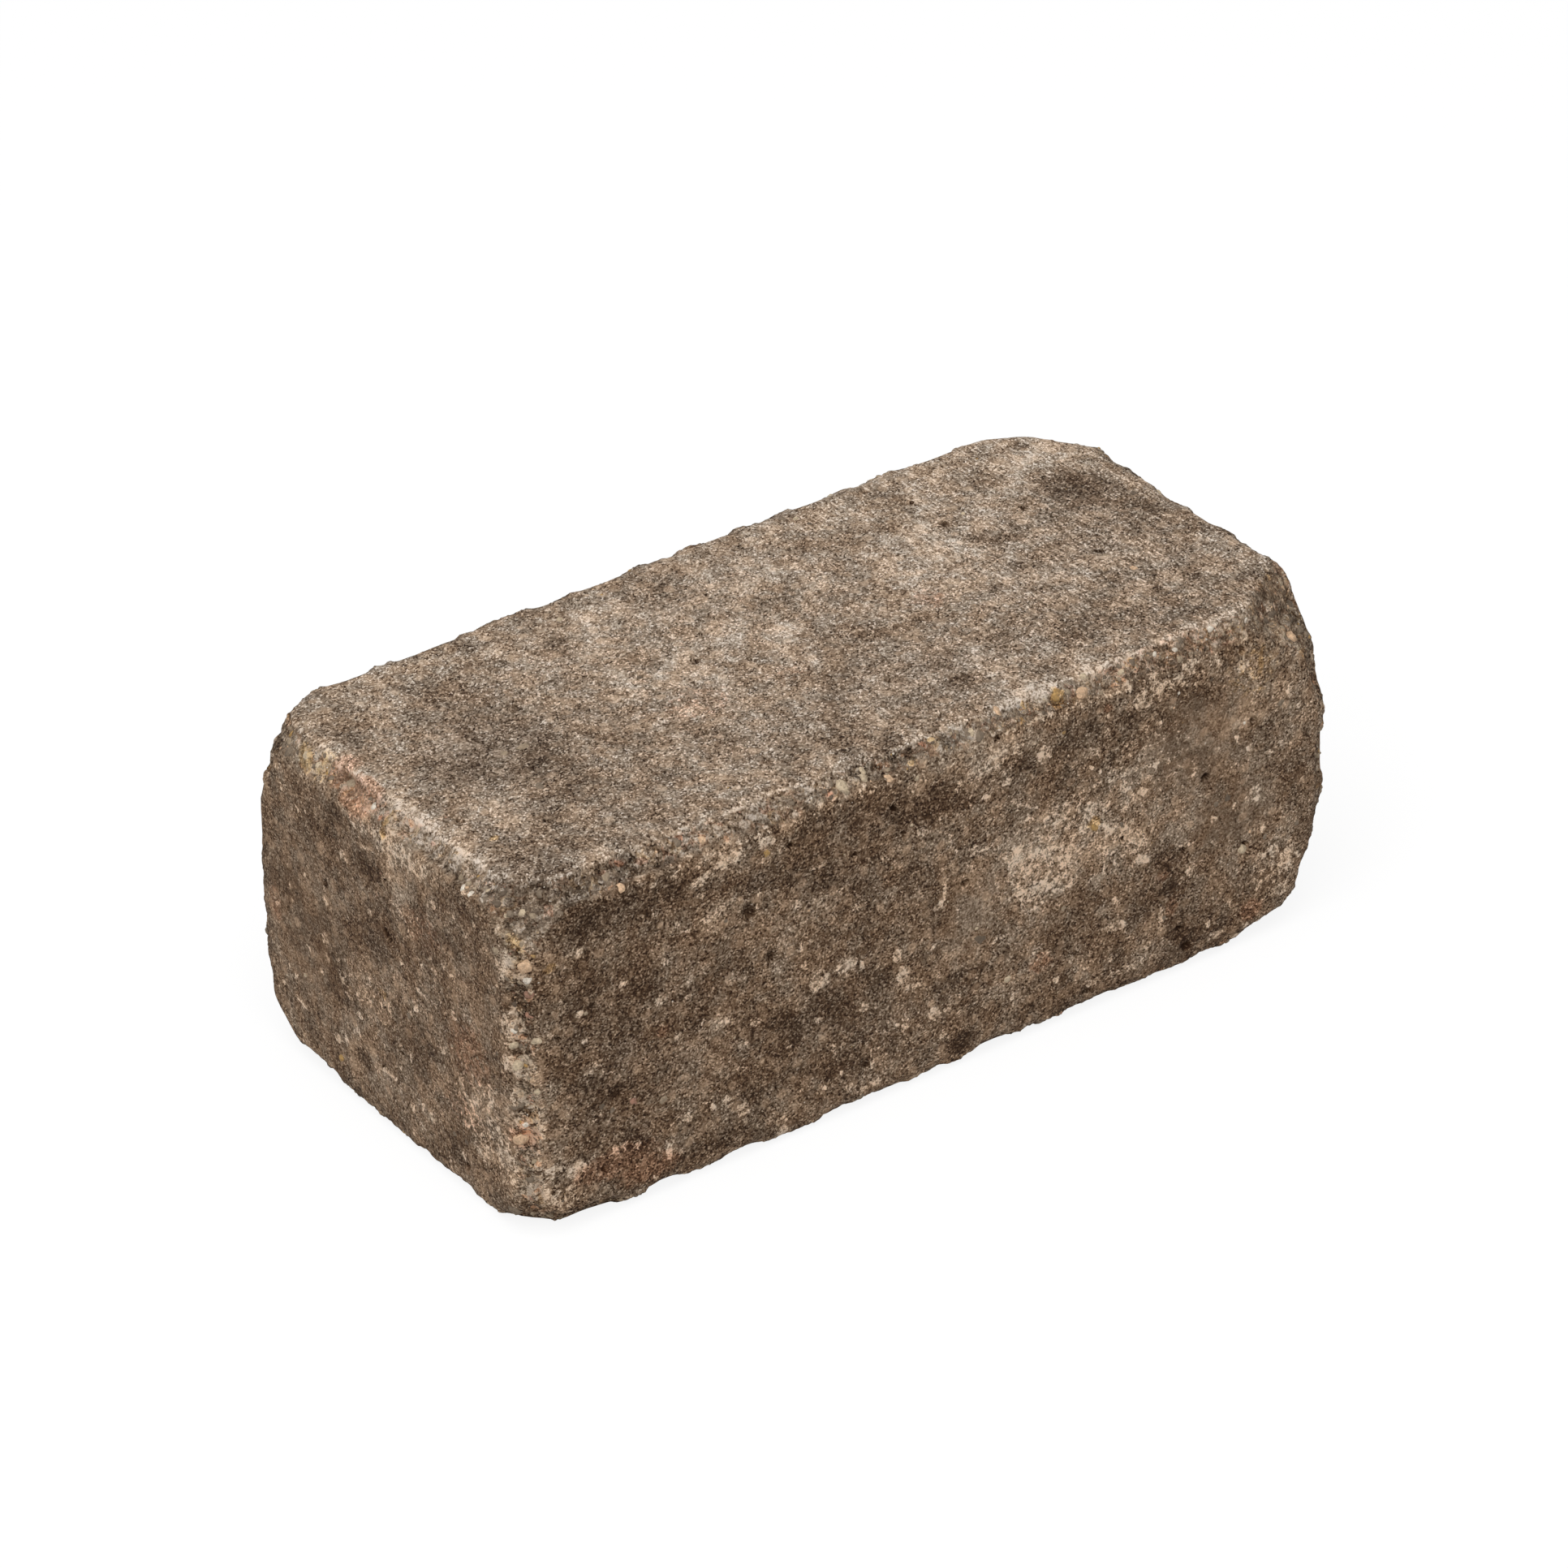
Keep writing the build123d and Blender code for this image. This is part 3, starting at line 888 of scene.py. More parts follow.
    def _grain(self, graph: MaterialGraph, place: Wire, up: Wire) -> Wire:
        """The sand in the cement: single grains, clots of them, and pin holes darkened as painted shade."""
        along = graph.vector("DOT_PRODUCT", place, self.trowel, out="Value") * -0.22
        drawn = graph.vector("ADD", place, graph.vector("SCALE", graph.join(*self.trowel), along))
        flat_sand = graph.split(graph.cells(drawn, self.sand_size, 24)[1])[0]
        sand = graph.split(graph.cells(place, self.sand_size, 4)[1])[0]
        sand = (sand + (flat_sand - sand) * up) * 2.0 - 1.0
        tails = sand * sand * sand * 0.6 + sand * 0.4
        clump = graph.cloud(place, self.clump_size, 1.0, 0.6, 4) - 0.5
        gap, colour = graph.cells(place, 1.9, 9)
        pick, width, _ = graph.split(colour)
        # Painted shade: pin holes are dark dots with no relief of their own.
        pin = pick.step(0.5, 0.52) * (1.0 - (gap - width * 0.14).step(0.06, 0.14))
        return tails * (1.0 + up * 0.25) * self.sand_gain + clump * self.clump_gain - pin * self.pinhole_shade

    @staticmethod
    def _lips(graph: MaterialGraph, place: Wire, rag: Wire) -> Wire:
        """The pale crest where the top face breaks off into a worn edge."""
        edge = graph.attribute("worn")
        level = graph.attribute("upward").step(0.76, 0.9)
        crest = edge.step(0.02, 0.2) * (1.0 - edge.step(0.45, 0.8)) * level
        return crest * (graph.cloud(place, 14.0, 3.0, 0.75, 20) + (rag - 0.5) * 0.9).step(0.48, 0.53)

    @staticmethod
    def _discs(graph: MaterialGraph, place: Wire, rag: Wire) -> Wire:
        """Stones that lie just under the cement and show as tan discs."""
        gap, colour = graph.cells(place, 5.5, 26)
        pick, width, _ = graph.split(colour)
        return pick.step(0.35, 0.6) * (1.0 - (gap + (rag - 0.5) * 0.4 - width * 0.16).step(0.14, 0.28))

    @staticmethod
    def _flecks(graph: MaterialGraph, place: Wire, up: Wire, worn: Wire, rag: Wire) -> Wire:
        """Small torn flecks of pale cement, and single pale grains."""
        gap, colour = graph.cells(graph.swayed(place, 3.0, 1.2), 7.0, 11)
        pick, width, _ = graph.split(colour)
        torn = pick.step(0.42, 0.44) * (1.0 - (gap + (rag - 0.5) * 0.9 - width * 0.19).step(0.0, 0.04))
        gap, colour = graph.cells(place, 2.7, 16)
        pick, width, _ = graph.split(colour)
        grain = pick.step(0.88, 0.9) * (1.0 - (gap + (rag - 0.5) * 0.5 - width * 0.1).step(0.05, 0.11))
        gap, colour = graph.cells(graph.swayed(place, 3.0, 1.0), 3.6, 28)
        pick, width, _ = graph.split(colour)
        chip = worn * pick.step(0.3, 0.32) * (1.0 - (gap + (rag - 0.5) * 0.8 - width * 0.3).step(0.06, 0.12))
        return (torn * (1.0 - up * 0.5) + grain * 0.75).high(chip * 0.9)

    def _stones(self, graph: MaterialGraph, place: Wire, worn: Wire, rag: Wire) -> tuple[Wire, Wire, Wire]:
        """Stones that show where the edge is worn, with painted shade in the crevices between them.

        Returns:
            Where a stone or a crevice shows, how much lighter it is, with the crevices darkened as painted
            shade, and a random number of its own.
        """
        gap, colour = graph.stones(place)
        pick, level, hue = graph.split(colour)
        chance = 0.18 + graph.attribute(Tone.GRAVEL.value).clamp() * 0.4
        shown = (chance - pick).step(-0.02, 0.02) * worn * (1.0 - (gap + (rag - 0.5) * 0.6).step(0.3, 0.46))
        # Painted shade: the crevices between the stones are darkened.
        crevice_shade = gap.step(0.4, 0.56) * worn * 0.9
        lighter = level * level * 95.0 - 8.0
        return shown.high(crevice_shade * 0.5), lighter * (1.0 - crevice_shade) - crevice_shade * 36.0, hue

    @staticmethod
    def _ramp(graph: MaterialGraph, green: Wire, light: float, warmth: float, most: float) -> Wire:
        """The concrete's colour at a brightness, under a share of the light."""
        steps = np.linspace(DARKEST, most, RAMP_STOPS)
        stops = [(step / STEPS, concrete_colour(step, light, warmth)) for step in steps]
        return graph.ramp(green / STEPS, stops)

    def _tinted(self, graph: MaterialGraph, place: Wire, colour: Wire, rag: Wire, disc: Wire,
                pale: Wire) -> Wire:
        """The colour with its tan, cream, rust, ochre and blue-grey places."""
        hue_noise = graph.cloud(place, 9.0, 3.0, 0.65, 8)
        tint = graph.mix(hue_noise.step(0.35, 0.65), (0.95, 1.0, 1.05, 1.0), (1.06, 1.0, 0.94, 1.0))
        tint = graph.mix((disc * 0.6).high(pale * 0.25), tint, (1.07, 1.0, 0.93, 1.0))
        rust = self._ragged(graph.attribute(Tone.RUST.value), rag, 1.8, 0.7)
        tint = graph.mix(rust * 0.8, tint, (1.2, 0.94, 0.83, 1.0))
        ochre = self._ragged(graph.attribute(Tone.OCHRE.value), rag, 1.8, 0.6)
        tint = graph.mix(ochre * 0.8, tint, (1.24, 1.06, 0.68, 1.0))
        cool = graph.attribute(Tone.COOL.value).high(graph.attribute(Tone.DARK.value) * 0.35).clamp()
        tint = graph.mix(cool * 0.7, tint, (0.93, 0.99, 1.07, 1.0))
        return graph.vector("MULTIPLY", colour, tint)

    @staticmethod
    def _stone_tint(graph: MaterialGraph, colour: Wire, hue: Wire) -> Wire:
        """The colour in a stone's own hue."""
        stops = [
            (0.0, (1.03, 1.0, 0.95, 1.0)),
            (0.35, (1.08, 1.0, 0.88, 1.0)),
            (0.55, (1.22, 0.96, 0.8, 1.0)),
            (0.72, (1.0, 1.0, 0.98, 1.0)),
            (0.85, (1.24, 1.02, 0.68, 1.0)),
            (0.95, (1.28, 0.88, 0.74, 1.0)),
        ]
        return graph.vector("MULTIPLY", colour, graph.ramp(hue, stops, "CONSTANT"))

    def _relief(self, graph: MaterialGraph, place: Wire, rough: Wire, torn: Wire, calm: Wire) -> Wire:
        """Sand grain and torn lumps as bump."""
        coarse = graph.cloud(place, 2.4, 2.0, 0.6, 12) * self.coarse_height
        grains, _ = graph.cells(place, self.sand_size, 4)
        return graph.bump((coarse - grains * self.grain_height) * calm + rough * torn * self.torn_height)


@dataclass(frozen=True)
class PebbleFinish:
    """Sand and pebbles of many colours, dusted with cement."""

    name: str = "pebbles"
    dust: float = 0.35

    def make(self) -> bpy.types.Material:
        """Builds the material."""
        graph = MaterialGraph(self.name)
        place = graph.position()
        tone = graph.attribute("tone")
        stops = [
            (0.0, (0.16, 0.12, 0.086, 1.0)),
            (0.2, (0.25, 0.192, 0.138, 1.0)),
            (0.4, (0.4, 0.31, 0.215, 1.0)),
            (0.55, (0.66, 0.53, 0.37, 1.0)),
            (0.72, (0.78, 0.53, 0.34, 1.0)),
            (0.82, (0.86, 0.77, 0.65, 1.0)),
            (0.88, (0.5, 0.31, 0.12, 1.0)),
            (0.95, (0.42, 0.23, 0.16, 1.0)),
        ]
        stone = graph.ramp(tone, stops, "CONSTANT")
        vein = graph.cloud(place, 1.1, 3.0, 0.85, 21)
        shade = graph.mix(vein.step(0.3, 0.7), (0.68, 0.66, 0.64, 1.0), (1.2, 1.2, 1.19, 1.0))
        dusted = graph.cloud(place, 1.3, 3.0, 0.75, 22).step(0.47, 0.58) * self.dust
        colour = graph.mix(dusted, stone, (0.2, 0.152, 0.112, 1.0))
        normal = graph.bump(graph.cloud(place, 0.8, 2.0, 0.7, 23) * 0.3)
        return graph.finish(graph.vector("MULTIPLY", colour, shade), 0.85, normal, 0.2)


@dataclass
class BlockSkin:
    """The block's whole surface, with the relief that casting and tumbling left on it."""

    voxel: float = 0.8
    small_stain: float = 4.2
    softening: float = 16.0
    undulation: float = 0.45
    bite_size: float = 13.0
    bite_depth: float = 3.3
    stone_height: float = 0.4
    lump_height: float = 0.45
    plain_lumps: float = 0.4
    worn_lumps: float = 3.2
    rim_height: float = 0.8
    hole_depth: float = 1.3
    triangles: int = 196000

    def build(self, material: bpy.types.Material) -> bpy.types.Object:
        """Makes the finished skin.

        Args:
            material: its finish.

        Returns:
            The object that stands for the block.
        """
        even = self._stage(self._welded(), "even_block")
        grid = even.modifiers.new("even_mesh", "REMESH")
        grid.mode = "VOXEL"
        grid.voxel_size = self.voxel * MM
        painted = self._stage(self._settle(even), "painted_block")
        self._paint(painted.data)
        self._relief_tree(material).put_on(painted)
        carved = self._stage(self._settle(painted), "carved_block")
        self._thin_out(carved)
        skin = self._stage(self._settle(carved), "block_surface")
        skin.data.shade_smooth()
        self._lay_out(skin.data)
        log.info("block surface: %d triangles", len(skin.data.polygons))
        return skin

    @staticmethod
    def _welded() -> bpy.types.Mesh:
        """The cast block's own mesh with its loose triangles joined."""
        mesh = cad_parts[NODE].data.copy()
        welder = bmesh.new()
        welder.from_mesh(mesh)
        bmesh.ops.remove_doubles(welder, verts=welder.verts, dist=0.001 * MM)
        welder.to_mesh(mesh)
        welder.free()
        return mesh

    @staticmethod
    def _stage(mesh: bpy.types.Mesh, name: str) -> bpy.types.Object:
        """An object of a mesh in the scene."""
        mesh.name = name
        thing = bpy.data.objects.new(name, mesh)
        bpy.context.scene.collection.objects.link(thing)
        return thing

    @staticmethod
    def _settle(thing: bpy.types.Object) -> bpy.types.Mesh:
        """The mesh that an object's modifiers make; the object itself goes."""
        graph = bpy.context.evaluated_depsgraph_get()
        mesh = bpy.data.meshes.new_from_object(thing.evaluated_get(graph), preserve_all_data_layers=True,
                                               depsgraph=graph)
        bpy.data.objects.remove(thing)
        return mesh

    def _thin_out(self, thing: bpy.types.Object) -> None:
        """Thins a mesh where it is plain, and keeps it whole where a small stain needs it."""
        mesh = thing.data
        mesh.calc_loop_triangles()
        small = np.empty(len(mesh.vertices), dtype=np.float32)
        mesh.attributes["small"].data.foreach_get("value", small)
        plain = thing.vertex_groups.new(name="plain")
        plain.add(np.flatnonzero(small < 0.5).tolist(), 1.0, "REPLACE")
        thin = thing.modifiers.new("thin_out", "DECIMATE")
        thin.ratio = min(1.0, self.triangles / len(mesh.loop_triangles))
        thin.vertex_group = plain.name
        thin.use_collapse_triangulate = True

    def _relief_tree(self, material: bpy.types.Material) -> GeometryGraph:
        """The tree that softens the cast form and lays the relief on it."""
        sizes = {
            "Softening": self.softening,
            "Undulation": self.undulation,
            "Bite Depth": self.bite_depth,
            "Stone Height": self.stone_height,
            "Lump Height": self.lump_height,
            "Hole Depth": self.hole_depth,
        }
        graph = GeometryGraph("relief", sizes)
        rounds = graph.node("FunctionNodeFloatToInt", None, {0: graph.named("Softening")}).out()
        raw = graph.node("GeometryNodeInputPosition").out()
        soft = graph.node("GeometryNodeBlurAttribute", {"data_type": "FLOAT_VECTOR"},
                          {"Value": raw, "Iterations": rounds}).out()
        body = graph.node("GeometryNodeSetPosition", None,
                          {"Geometry": graph.named("Geometry"), "Position": soft}).out()
        near, next_near = graph.edge_gaps(graph.position())
        normal = graph.node("GeometryNodeInputNormal").out()
        body = graph.keep(body, "place", graph.position(), "FLOAT_VECTOR")
        body = graph.keep(body, "worn", near.step(0.3, 2.2))
        body = graph.keep(body, "rim", 1.0 - next_near.step(1.0, 9.0))
        body = graph.keep(body, "upward", graph.split(normal)[2])
        body = graph.keep(body, "relief", self._height(graph))
        lift = graph.vector("SCALE", graph.vector("SCALE", normal, graph.attribute("relief")), MM)
        body = graph.node("GeometryNodeSetPosition", None, {"Geometry": body, "Offset": lift}).out()
        graph.finish(body, material)
        return graph

    def _height(self, graph: GeometryGraph) -> Wire:
        """The relief in mm, outward."""
        place = graph.attribute("place", "FLOAT_VECTOR")
        worn = graph.attribute("worn")
        broken = worn.high(graph.attribute("rim") * 0.35)
        wave = (graph.cloud(place, 60.0, 1.0, 0.5, 31) - 0.5) * 2.0 * graph.named("Undulation")
        lively = graph.cloud(place, 34.0, 1.0, 0.5, 32).step(0.36, 0.6) * 0.65 + 0.35
        bite, _ = graph.cells(graph.swayed(place, 9.0, 3.0), self.bite_size, 33)
        hollow = (1.0 - bite * bite * 2.2).high(0.0) * graph.named("Bite Depth")
        gap, _ = graph.stones(place)
        gravel = 0.25 + graph.attribute(Tone.GRAVEL.value).clamp()
        stone = (0.6 - gap * gap * 2.4).high(-0.5) * gravel * graph.named("Stone Height")
        lumps = (graph.cloud(place, 6.0, 3.0, 0.8, 35) - 0.5) * 2.0 * graph.named("Lump Height")
        dark = graph.attribute(Tone.DARK.value)
        hole = (graph.holes(place) * (1.0 - worn)).high((dark - 1.1).clamp()) * graph.named("Hole Depth")
        crust = graph.attribute(Tone.PALE.value).clamp() * 0.15 - dark.clamp() * 0.25
        calm = 1.0 - graph.attribute(Tone.SMOOTH.value).clamp() * 0.5
        relief = wave + broken * (self.rim_height - hollow * lively) + worn * stone
        return relief + lumps * (self.plain_lumps + worn * self.worn_lumps) * calm + crust - hole

    def _paint(self, mesh: bpy.types.Mesh) -> None:
        """Stores the stains on the mesh, and where the small ones are."""
        flat = np.empty(len(mesh.vertices) * 3)
        mesh.vertices.foreach_get("co", flat)
        place = flat.reshape(-1, 3) / MM - np.array(CENTRE)
        hidden = HiddenStains().make((Side.BACK, Side.RIGHT, Side.BOTTOM))
        layers = {tone.value: np.zeros(len(place)) for tone in Tone}
        layers["small"] = np.zeros(len(place))
        for stain in seen_stains() + hidden:
            near, cover = self._shade(place, stain)
            layer = layers[stain.tone.value]
            layer[near] = np.maximum(layer[near], cover * stain.strength)
            if min(stain.wide, stain.tall) < self.small_stain:
                layers["small"][near[cover > 0.0]] = 1.0
        for name, layer in layers.items():
            mesh.attributes.new(name, "FLOAT", "POINT").data.foreach_set("value", layer)

    @staticmethod
    def _shade(place: np.ndarray, stain: Stain) -> tuple[np.ndarray, np.ndarray]:
        """How fully a stain covers the points near it.

        Args:
            place: the points from the block's middle, in mm.
            stain: the stain.

        Returns:
            The numbers of the points near it, and its cover there.
        """
        axis, sign, first, second = stain.side.value
        turn = math.radians(stain.turn)
        across = place[:, first] - stain.across
        along = place[:, second] - stain.along
        deep = HALF[axis] - sign * place[:, axis]
        reach = STAIN_END * max(stain.wide, stain.tall)
        inside = (np.abs(across) < reach) & (np.abs(along) < reach) & (deep < STAIN_END * STAIN_DEPTH)
        near = np.flatnonzero(inside)
        across, along, deep = across[near], along[near], deep[near]
        wide = (across * math.cos(turn) + along * math.sin(turn)) / stain.wide
        tall = (along * math.cos(turn) - across * math.sin(turn)) / stain.tall
        spread = np.sqrt(wide ** 2 + tall ** 2 + (deep / STAIN_DEPTH) ** 2)
        return near, 1.0 - smoothstep(STAIN_FULL, STAIN_END, spread)

    @staticmethod
    def _lay_out(mesh: bpy.types.Mesh) -> None:
        """Lays the six sides out flat, at one scale, in a map of their own."""
        length, width, height = (2.0 * half for half in HALF)
        gap = 4.0
        side = width * 2.0 + height * 2.0 + gap * 5.0
        corners = {
            Side.TOP: (gap, gap),
            Side.BOTTOM: (gap, gap * 2 + width),
            Side.FRONT: (gap, gap * 3 + width * 2),
            Side.BACK: (gap, gap * 4 + width * 2 + height),
            Side.LEFT: (gap * 2 + length, gap),
            Side.RIGHT: (gap * 2 + length, gap * 2 + height),
        }
        points = np.empty(len(mesh.vertices) * 3)
        mesh.vertices.foreach_get("co", points)
        points = points.reshape(-1, 3) / MM - np.array(CENTRE)
        corner_points = np.empty(len(mesh.loops), dtype=np.int32)
        mesh.loops.foreach_get("vertex_index", corner_points)
        starts = np.empty(len(mesh.polygons), dtype=np.int32)
        totals = np.empty(len(mesh.polygons), dtype=np.int32)
        mesh.polygons.foreach_get("loop_start", starts)
        mesh.polygons.foreach_get("loop_total", totals)
        owner = np.repeat(np.arange(len(starts)), totals)
        middles = np.add.reduceat(points[corner_points], starts) / totals[:, None]
        gaps = np.array(HALF) - np.abs(middles)
        nearest = gaps.argmin(1)
        way = np.sign(middles[np.arange(len(middles)), nearest])
        flat = np.zeros((len(corner_points), 2))
        for one, (left, low) in corners.items():
            axis, sign, first, second = one.value
            mine = ((nearest == axis) & (way == sign))[owner]
            placed = points[corner_points[mine]]
            flat[mine, 0] = (left + placed[:, first] + HALF[first]) / side
            flat[mine, 1] = (low + placed[:, second] + HALF[second]) / side
        layer = mesh.uv_layers.new(name="OFBake")
        layer.data.foreach_set("uv", flat.ravel())


@dataclass(frozen=True)
class Pebble:
    """A pebble that shows at a place of its own in the photograph."""

    side: Side
    across: float
    along: float
    size: float
    tone: float


# The tones are the pebble finish's: 0.45 tan, 0.6 cream, 0.75 peach, 0.85 white, 0.9 ochre, 0.97 red.
NAMED_PEBBLES = (
    Pebble(Side.FRONT, -146.3, 37, 2.6, 0.75),
    Pebble(Side.FRONT, -145.4, 33.4, 1.4, 0.85),
    Pebble(Side.FRONT, -143.2, 40.5, 0.9, 0.9),
    Pebble(Side.LEFT, -71.5, 28, 1.7, 0.97),
    Pebble(Side.LEFT, -71.5, 20.5, 1.1, 0.97),
    Pebble(Side.LEFT, -72, 11.5, 1.8, 0.6),
    Pebble(Side.FRONT, -147, 3.2, 2.2, 0.6),
    Pebble(Side.FRONT, -149, 15.5, 1.2, 0.85),
    Pebble(Side.FRONT, -148.6, 9.5, 1.4, 0.6),
    Pebble(Side.FRONT, -147.2, -17.5, 1.1, 0.85),
    Pebble(Side.FRONT, -148.2, -22.5, 2.0, 0.75),
    Pebble(Side.FRONT, -144.5, -5.5, 1.2, 0.6),
    Pebble(Side.TOP, -146.5, 4.5, 1.5, 0.85),
    Pebble(Side.TOP, -148.5, -45.5, 1.2, 0.85),
    Pebble(Side.TOP, -148, -49.5, 1.3, 0.85),
    Pebble(Side.TOP, -147.5, 41, 1.7, 0.6),
    Pebble(Side.TOP, -146.5, 35, 1.4, 0.6),
    Pebble(Side.TOP, -33, -71.5, 2.3, 0.6),
    Pebble(Side.FRONT, 25.5, 57, 1.6, 0.75),
    Pebble(Side.FRONT, 46, 56, 2.0, 0.9),
    Pebble(Side.FRONT, 54, 55, 2.2, 0.75),
    Pebble(Side.FRONT, 57.5, 57.5, 1.6, 0.6),
    Pebble(Side.FRONT, 70, 55, 1.4, 0.6),
    Pebble(Side.FRONT, 84, 55.5, 1.0, 0.85),
    Pebble(Side.FRONT, 90, 55.6, 0.9, 0.85),
    Pebble(Side.FRONT, 105, 56.5, 1.2, 0.85),
    Pebble(Side.FRONT, 118, 55.5, 1.0, 0.85),
    Pebble(Side.FRONT, -8, 49, 1.1, 0.6),
    Pebble(Side.FRONT, -25.5, 54, 2.4, 0.6),
    Pebble(Side.FRONT, -17.5, 52.5, 1.4, 0.75),
    Pebble(Side.FRONT, -82.5, 54.5, 1.4, 0.75),
    Pebble(Side.FRONT, -112.5, -21.5, 1.6, 0.97),
    Pebble(Side.FRONT, 57, 7.2, 1.7, 0.9),
    Pebble(Side.FRONT, 46, 44.5, 0.9, 0.9),
)


@dataclass
class Aggregate:
    """Sand grains or pebbles that stand in the worn edges and breaks."""

    name: str
    seed: int
    grains: int
    usual: float
    least: float
    largest: float
    roundness: int
    named: bool = False
    spread: float = 0.35
    sunk: float = 0.55
    flat: float = 0.75
    uneven: float = 0.5
    longest: float = 1.35

    def build(self, skin: bpy.types.Object, material: bpy.types.Material) -> bpy.types.Object:
        """Makes the pebbles.

        Args:
            skin: the block's surface, which they stand in.
            material: their finish.

        Returns:
            The pebbles as one mesh object.
        """
        rows = self._scatter(skin.data) + (self._placed(skin) if self.named else [])
        mesh = bpy.data.meshes.new(self.name + "_seats")
        mesh.from_pydata([row[0] for row in rows], [], [])
        self._store(mesh, "facing", "FLOAT_VECTOR", "vector", [value for row in rows for value in row[1]])
        self._store(mesh, "size", "FLOAT", "value", [row[2] for row in rows])
        self._store(mesh, "tone", "FLOAT", "value", [row[3] for row in rows])
        seats = bpy.data.objects.new(self.name + "_seats", mesh)
        bpy.context.scene.collection.objects.link(seats)
        self._tree(material).put_on(seats)
        graph = bpy.context.evaluated_depsgraph_get()
        grown = bpy.data.meshes.new_from_object(seats.evaluated_get(graph), preserve_all_data_layers=True,
                                                depsgraph=graph)
        bpy.data.objects.remove(seats)
        grown.name = self.name
        stones = bpy.data.objects.new(self.name, grown)
        bpy.context.scene.collection.objects.link(stones)
        log.info("%s: %d in %d triangles", self.name, len(rows), len(grown.polygons))
        return stones

    @staticmethod
    def _store(mesh: bpy.types.Mesh, name: str, kind: str, field: str, values: Sequence[float]) -> None:
        """Stores one value for each point."""
        mesh.attributes.new(name, kind, "POINT").data.foreach_set(field, np.array(values, dtype=np.float32))

    def _scatter(self, mesh: bpy.types.Mesh) -> list[tuple[Vector, Vector, float, float]]:
        """Seats for grains, thick where the skin is worn.

        Args:
            mesh: the block's surface.

        Returns:
            For each grain its seat in metres, the way it faces, its size in mm and its tone.
        """
        draw = np.random.default_rng(self.seed)
        count = len(mesh.polygons)
        areas = np.empty(count)
        mesh.polygons.foreach_get("area", areas)
        firsts = np.empty(count * 3, dtype=np.int32)
        mesh.polygons.foreach_get("vertices", firsts)
        worn = np.empty(len(mesh.vertices), dtype=np.float32)
        mesh.attributes["worn"].data.foreach_get("value", worn)
        stony = np.empty(len(mesh.vertices), dtype=np.float32)
        mesh.attributes[Tone.GRAVEL.value].data.foreach_get("value", stony)
        corners = firsts.reshape(-1, 3)
        weight = areas * (0.02 + worn[corners].mean(1) ** 2 * (0.3 + stony[corners].mean(1)))
        chosen = draw.choice(count, self.grains, p=weight / weight.sum())
        rows = []
        for index in chosen:
            face = mesh.polygons[int(index)]
            size = min(self.usual * math.exp(draw.normal(0.0, self.spread)), self.largest)
            tone = draw.uniform(0.1, 0.55) if draw.random() < 0.8 else draw.uniform(0.55, 1.0)
            rows.append((face.center.copy(), face.normal.copy(), max(size, self.least), tone))
        return rows

    @staticmethod
    def _placed(skin: bpy.types.Object) -> list[tuple[Vector, Vector, float, float]]:
        """Seats for the pebbles that show at places of their own."""
        graph = bpy.context.evaluated_depsgraph_get()
        tree = BVHTree.FromObject(skin, graph)
        rows = []
        for pebble in NAMED_PEBBLES:
            start = (pebble.side.point(pebble.across, pebble.along, 20.0) + CENTRE) * MM
            seat, facing, _, _ = tree.ray_cast(start, -pebble.side.facing)
            if seat is not None:
                rows.append((seat, facing, pebble.size, pebble.tone))
        return rows

    @staticmethod
    def _random(graph: GeometryGraph, least: float, most: float, seed: int) -> Wire:
        """A number of its own for each stone."""
        sockets = {2: least, 3: most, "Seed": seed}
        return graph.node("FunctionNodeRandomValue", {"data_type": "FLOAT"}, sockets).out(1)

    def _tree(self, material: bpy.types.Material) -> GeometryGraph:
        """The tree that grows a stone on each seat."""
        sizes = {"Sunk": self.sunk, "Flatness": self.flat, "Unevenness": self.uneven}
        graph = GeometryGraph(self.name, sizes)
        size = graph.attribute("size") * MM
        facing = graph.attribute("facing", "FLOAT_VECTOR")
        sink = graph.vector("SCALE", facing, size * graph.named("Sunk") * graph.named("Flatness") * -1.0)
        seats = graph.node("GeometryNodeMeshToPoints", None, {"Mesh": graph.named("Geometry")}).out()
        seats = graph.node("GeometryNodeSetPosition", None, {"Geometry": seats, "Offset": sink}).out()
        ball = graph.node("GeometryNodeMeshIcoSphere", None,
                          {"Radius": 1.0, "Subdivisions": self.roundness}).out()
        lean = graph.node("FunctionNodeAlignRotationToVector", {"axis": "Z"}, {"Vector": facing}).out()
        spin = self._random(graph, 0.0, math.tau, 3)
        turn = graph.node("FunctionNodeAxisAngleToRotation", None,
                          {"Axis": (0.0, 0.0, 1.0), "Angle": spin}).out()
        lean = graph.node("FunctionNodeRotateRotation", {"rotation_space": "LOCAL"},
                          {"Rotation": lean, "Rotate By": turn}).out()
        long = self._random(graph, 1.0, self.longest, 4)
        form = graph.join(size * long, size, size * graph.named("Flatness"))
        stones = graph.node("GeometryNodeInstanceOnPoints", None, {
            "Points": seats, "Instance": ball, "Rotation": lean, "Scale": form}).out()
        stones = graph.node("GeometryNodeRealizeInstances", None, {"Geometry": stones}).out()
        place = graph.position()
        normal = graph.node("GeometryNodeInputNormal").out()
        uneven = graph.attribute("size") * graph.named("Unevenness")
        rough = (graph.cloud(place, 1.2, 1.0, 0.5, 41) - 0.5) * 2.0 * uneven
        offset = graph.vector("SCALE", normal, rough * MM)
        stones = graph.node("GeometryNodeSetPosition", None, {"Geometry": stones, "Offset": offset}).out()
        stones = graph.node("GeometryNodeSetShadeSmooth", None, {"Geometry": stones}).out()
        graph.finish(stones, material)
        return graph


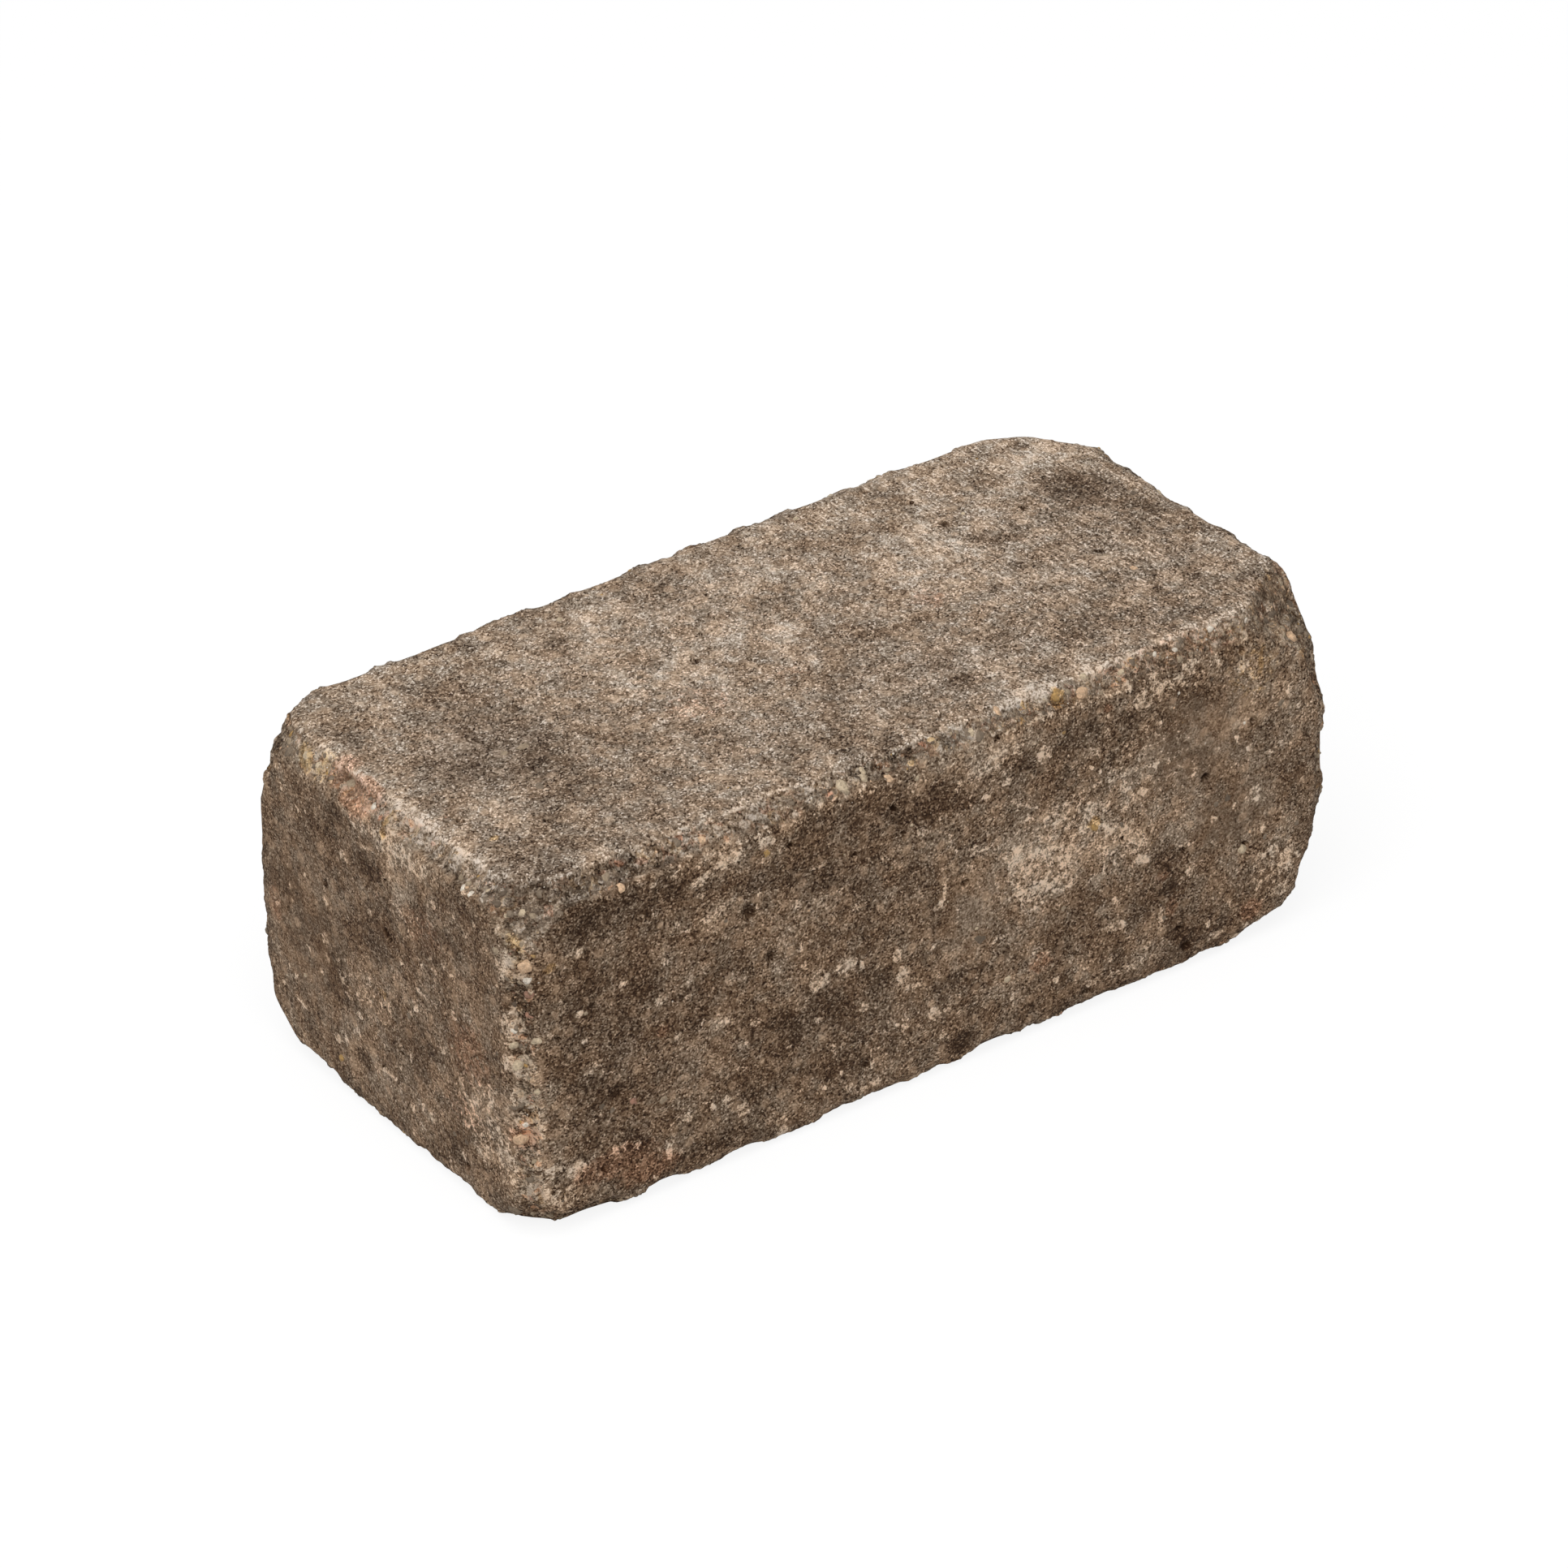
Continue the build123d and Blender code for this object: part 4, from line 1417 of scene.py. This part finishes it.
@dataclass
class Studio:
    """A white floor, soft light from above and the camera of the photograph."""

    yaw: float = 34.2395
    pitch: float = 31.4392
    roll: float = -2.1035
    distance: float = 2131.533
    aside: float = 4.6554
    above: float = -7.4838
    lens: float = 160.54
    sensor: float = 36.0
    world_light: float = 0.35
    key_power: float = 73.0
    key_size: float = 3.0
    key_place: tuple[float, float, float] = (-1.0, -1.0, 2.75)
    floor_size: float = 12.0
    floor_white: float = 0.7
    floor_lift: float = 0.75
    floor_glow: float = 1.16

    def build(self) -> None:
        """Sets up floor, lights and camera."""
        self._floor()
        self._world()
        self._key()
        self._camera()
        bpy.context.scene.view_settings.view_transform = "Standard"
        log.info("studio: floor, world, key light and camera")

    def _seen(self, graph: Graph) -> Wire:
        """1 for what the camera, a reflection or clear material sees."""
        path = graph.node("ShaderNodeLightPath")
        return path.out("Is Camera Ray").high(path.out("Is Glossy Ray")).high(path.out("Is Transmission Ray"))

    def _floor(self) -> None:
        """A floor that shows white and keeps the block's shadow."""
        half = self.floor_size / 2
        mesh = bpy.data.meshes.new("floor")
        corners = [(-half, -half, 0), (half, -half, 0), (half, half, 0), (-half, half, 0)]
        mesh.from_pydata(corners, [], [(0, 1, 2, 3)])
        floor = bpy.data.objects.new("floor", mesh)
        bpy.context.scene.collection.objects.link(floor)
        graph = MaterialGraph("white_floor")
        white = (self.floor_white, self.floor_white, self.floor_white, 1.0)
        matte = graph.node("ShaderNodeBsdfDiffuse", None, {"Color": white}).out()
        bright = graph.node("ShaderNodeEmission", None, {"Color": WHITE, "Strength": self.floor_glow}).out()
        factor = self._seen(graph) * self.floor_lift
        both = graph.node("ShaderNodeMixShader", None, {0: factor, 1: matte, 2: bright}).out()
        graph.node("ShaderNodeOutputMaterial", None, {"Surface": both})
        mesh.materials.append(graph.material)

    def _world(self) -> None:
        """Even light from all round, which shows as white."""
        world = bpy.data.worlds.new("studio")
        world.use_nodes = True
        world.node_tree.nodes.clear()
        bpy.context.scene.world = world
        graph = Graph(world.node_tree)
        strength = self._seen(graph) * (1.0 - self.world_light) + self.world_light
        light = graph.node("ShaderNodeBackground", None, {"Color": WHITE, "Strength": strength}).out()
        graph.node("ShaderNodeOutputWorld", None, {"Surface": light})

    def _key(self) -> None:
        """A large soft lamp above the block."""
        lamp = bpy.data.lights.new("key", "AREA")
        lamp.shape = "SQUARE"
        lamp.size = self.key_size
        lamp.energy = self.key_power
        key = bpy.data.objects.new("key", lamp)
        key.location = self.key_place
        aim = Vector((0.0, 0.0, HALF.z * MM)) - key.location
        key.rotation_euler = aim.to_track_quat("-Z", "Y").to_euler()
        bpy.context.scene.collection.objects.link(key)

    def _camera(self) -> None:
        """The camera, where the photograph was taken from."""
        yaw, pitch, roll = (math.radians(angle) for angle in (self.yaw, self.pitch, self.roll))
        ahead = Vector((math.cos(pitch) * math.sin(yaw), math.cos(pitch) * math.cos(yaw), -math.sin(pitch)))
        level = Vector((math.cos(yaw), -math.sin(yaw), 0.0))
        rise = level.cross(ahead)
        right = level * math.cos(roll) + rise * math.sin(roll)
        up = rise * math.cos(roll) - level * math.sin(roll)
        place = (CENTRE - ahead * self.distance - right * self.aside - up * self.above) * MM
        data = bpy.data.cameras.new("camera")
        data.lens = self.lens
        data.sensor_width = self.sensor
        data.clip_start = 0.05
        data.dof.use_dof = False
        camera = bpy.data.objects.new("camera", data)
        turn = Matrix((right, up, -ahead)).transposed().to_4x4()
        camera.matrix_world = Matrix.Translation(place) @ turn
        bpy.context.scene.collection.objects.link(camera)
        bpy.context.scene.camera = camera


def main() -> None:
    """Builds the block, its pebbles and the studio."""
    logging.basicConfig(level=logging.INFO)
    Studio().build()
    skin = BlockSkin().build(ConcreteFinish().make())
    pebbles = Aggregate("exposed_pebbles", 5, 420, 1.0, 0.7, 2.2, 2, named=True, sunk=0.66)
    sand = Aggregate("exposed_sand", 7, 6500, 0.45, 0.3, 0.8, 1, sunk=0.75)
    pieces = [
        skin,
        pebbles.build(skin, PebbleFinish().make()),
        sand.build(skin, PebbleFinish("sand_grains", 0.45).make()),
    ]
    for piece in pieces:
        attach(piece, BODY)
    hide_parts(NODE)
    log.info("sizes written")


if __name__ == "__main__":
    main()
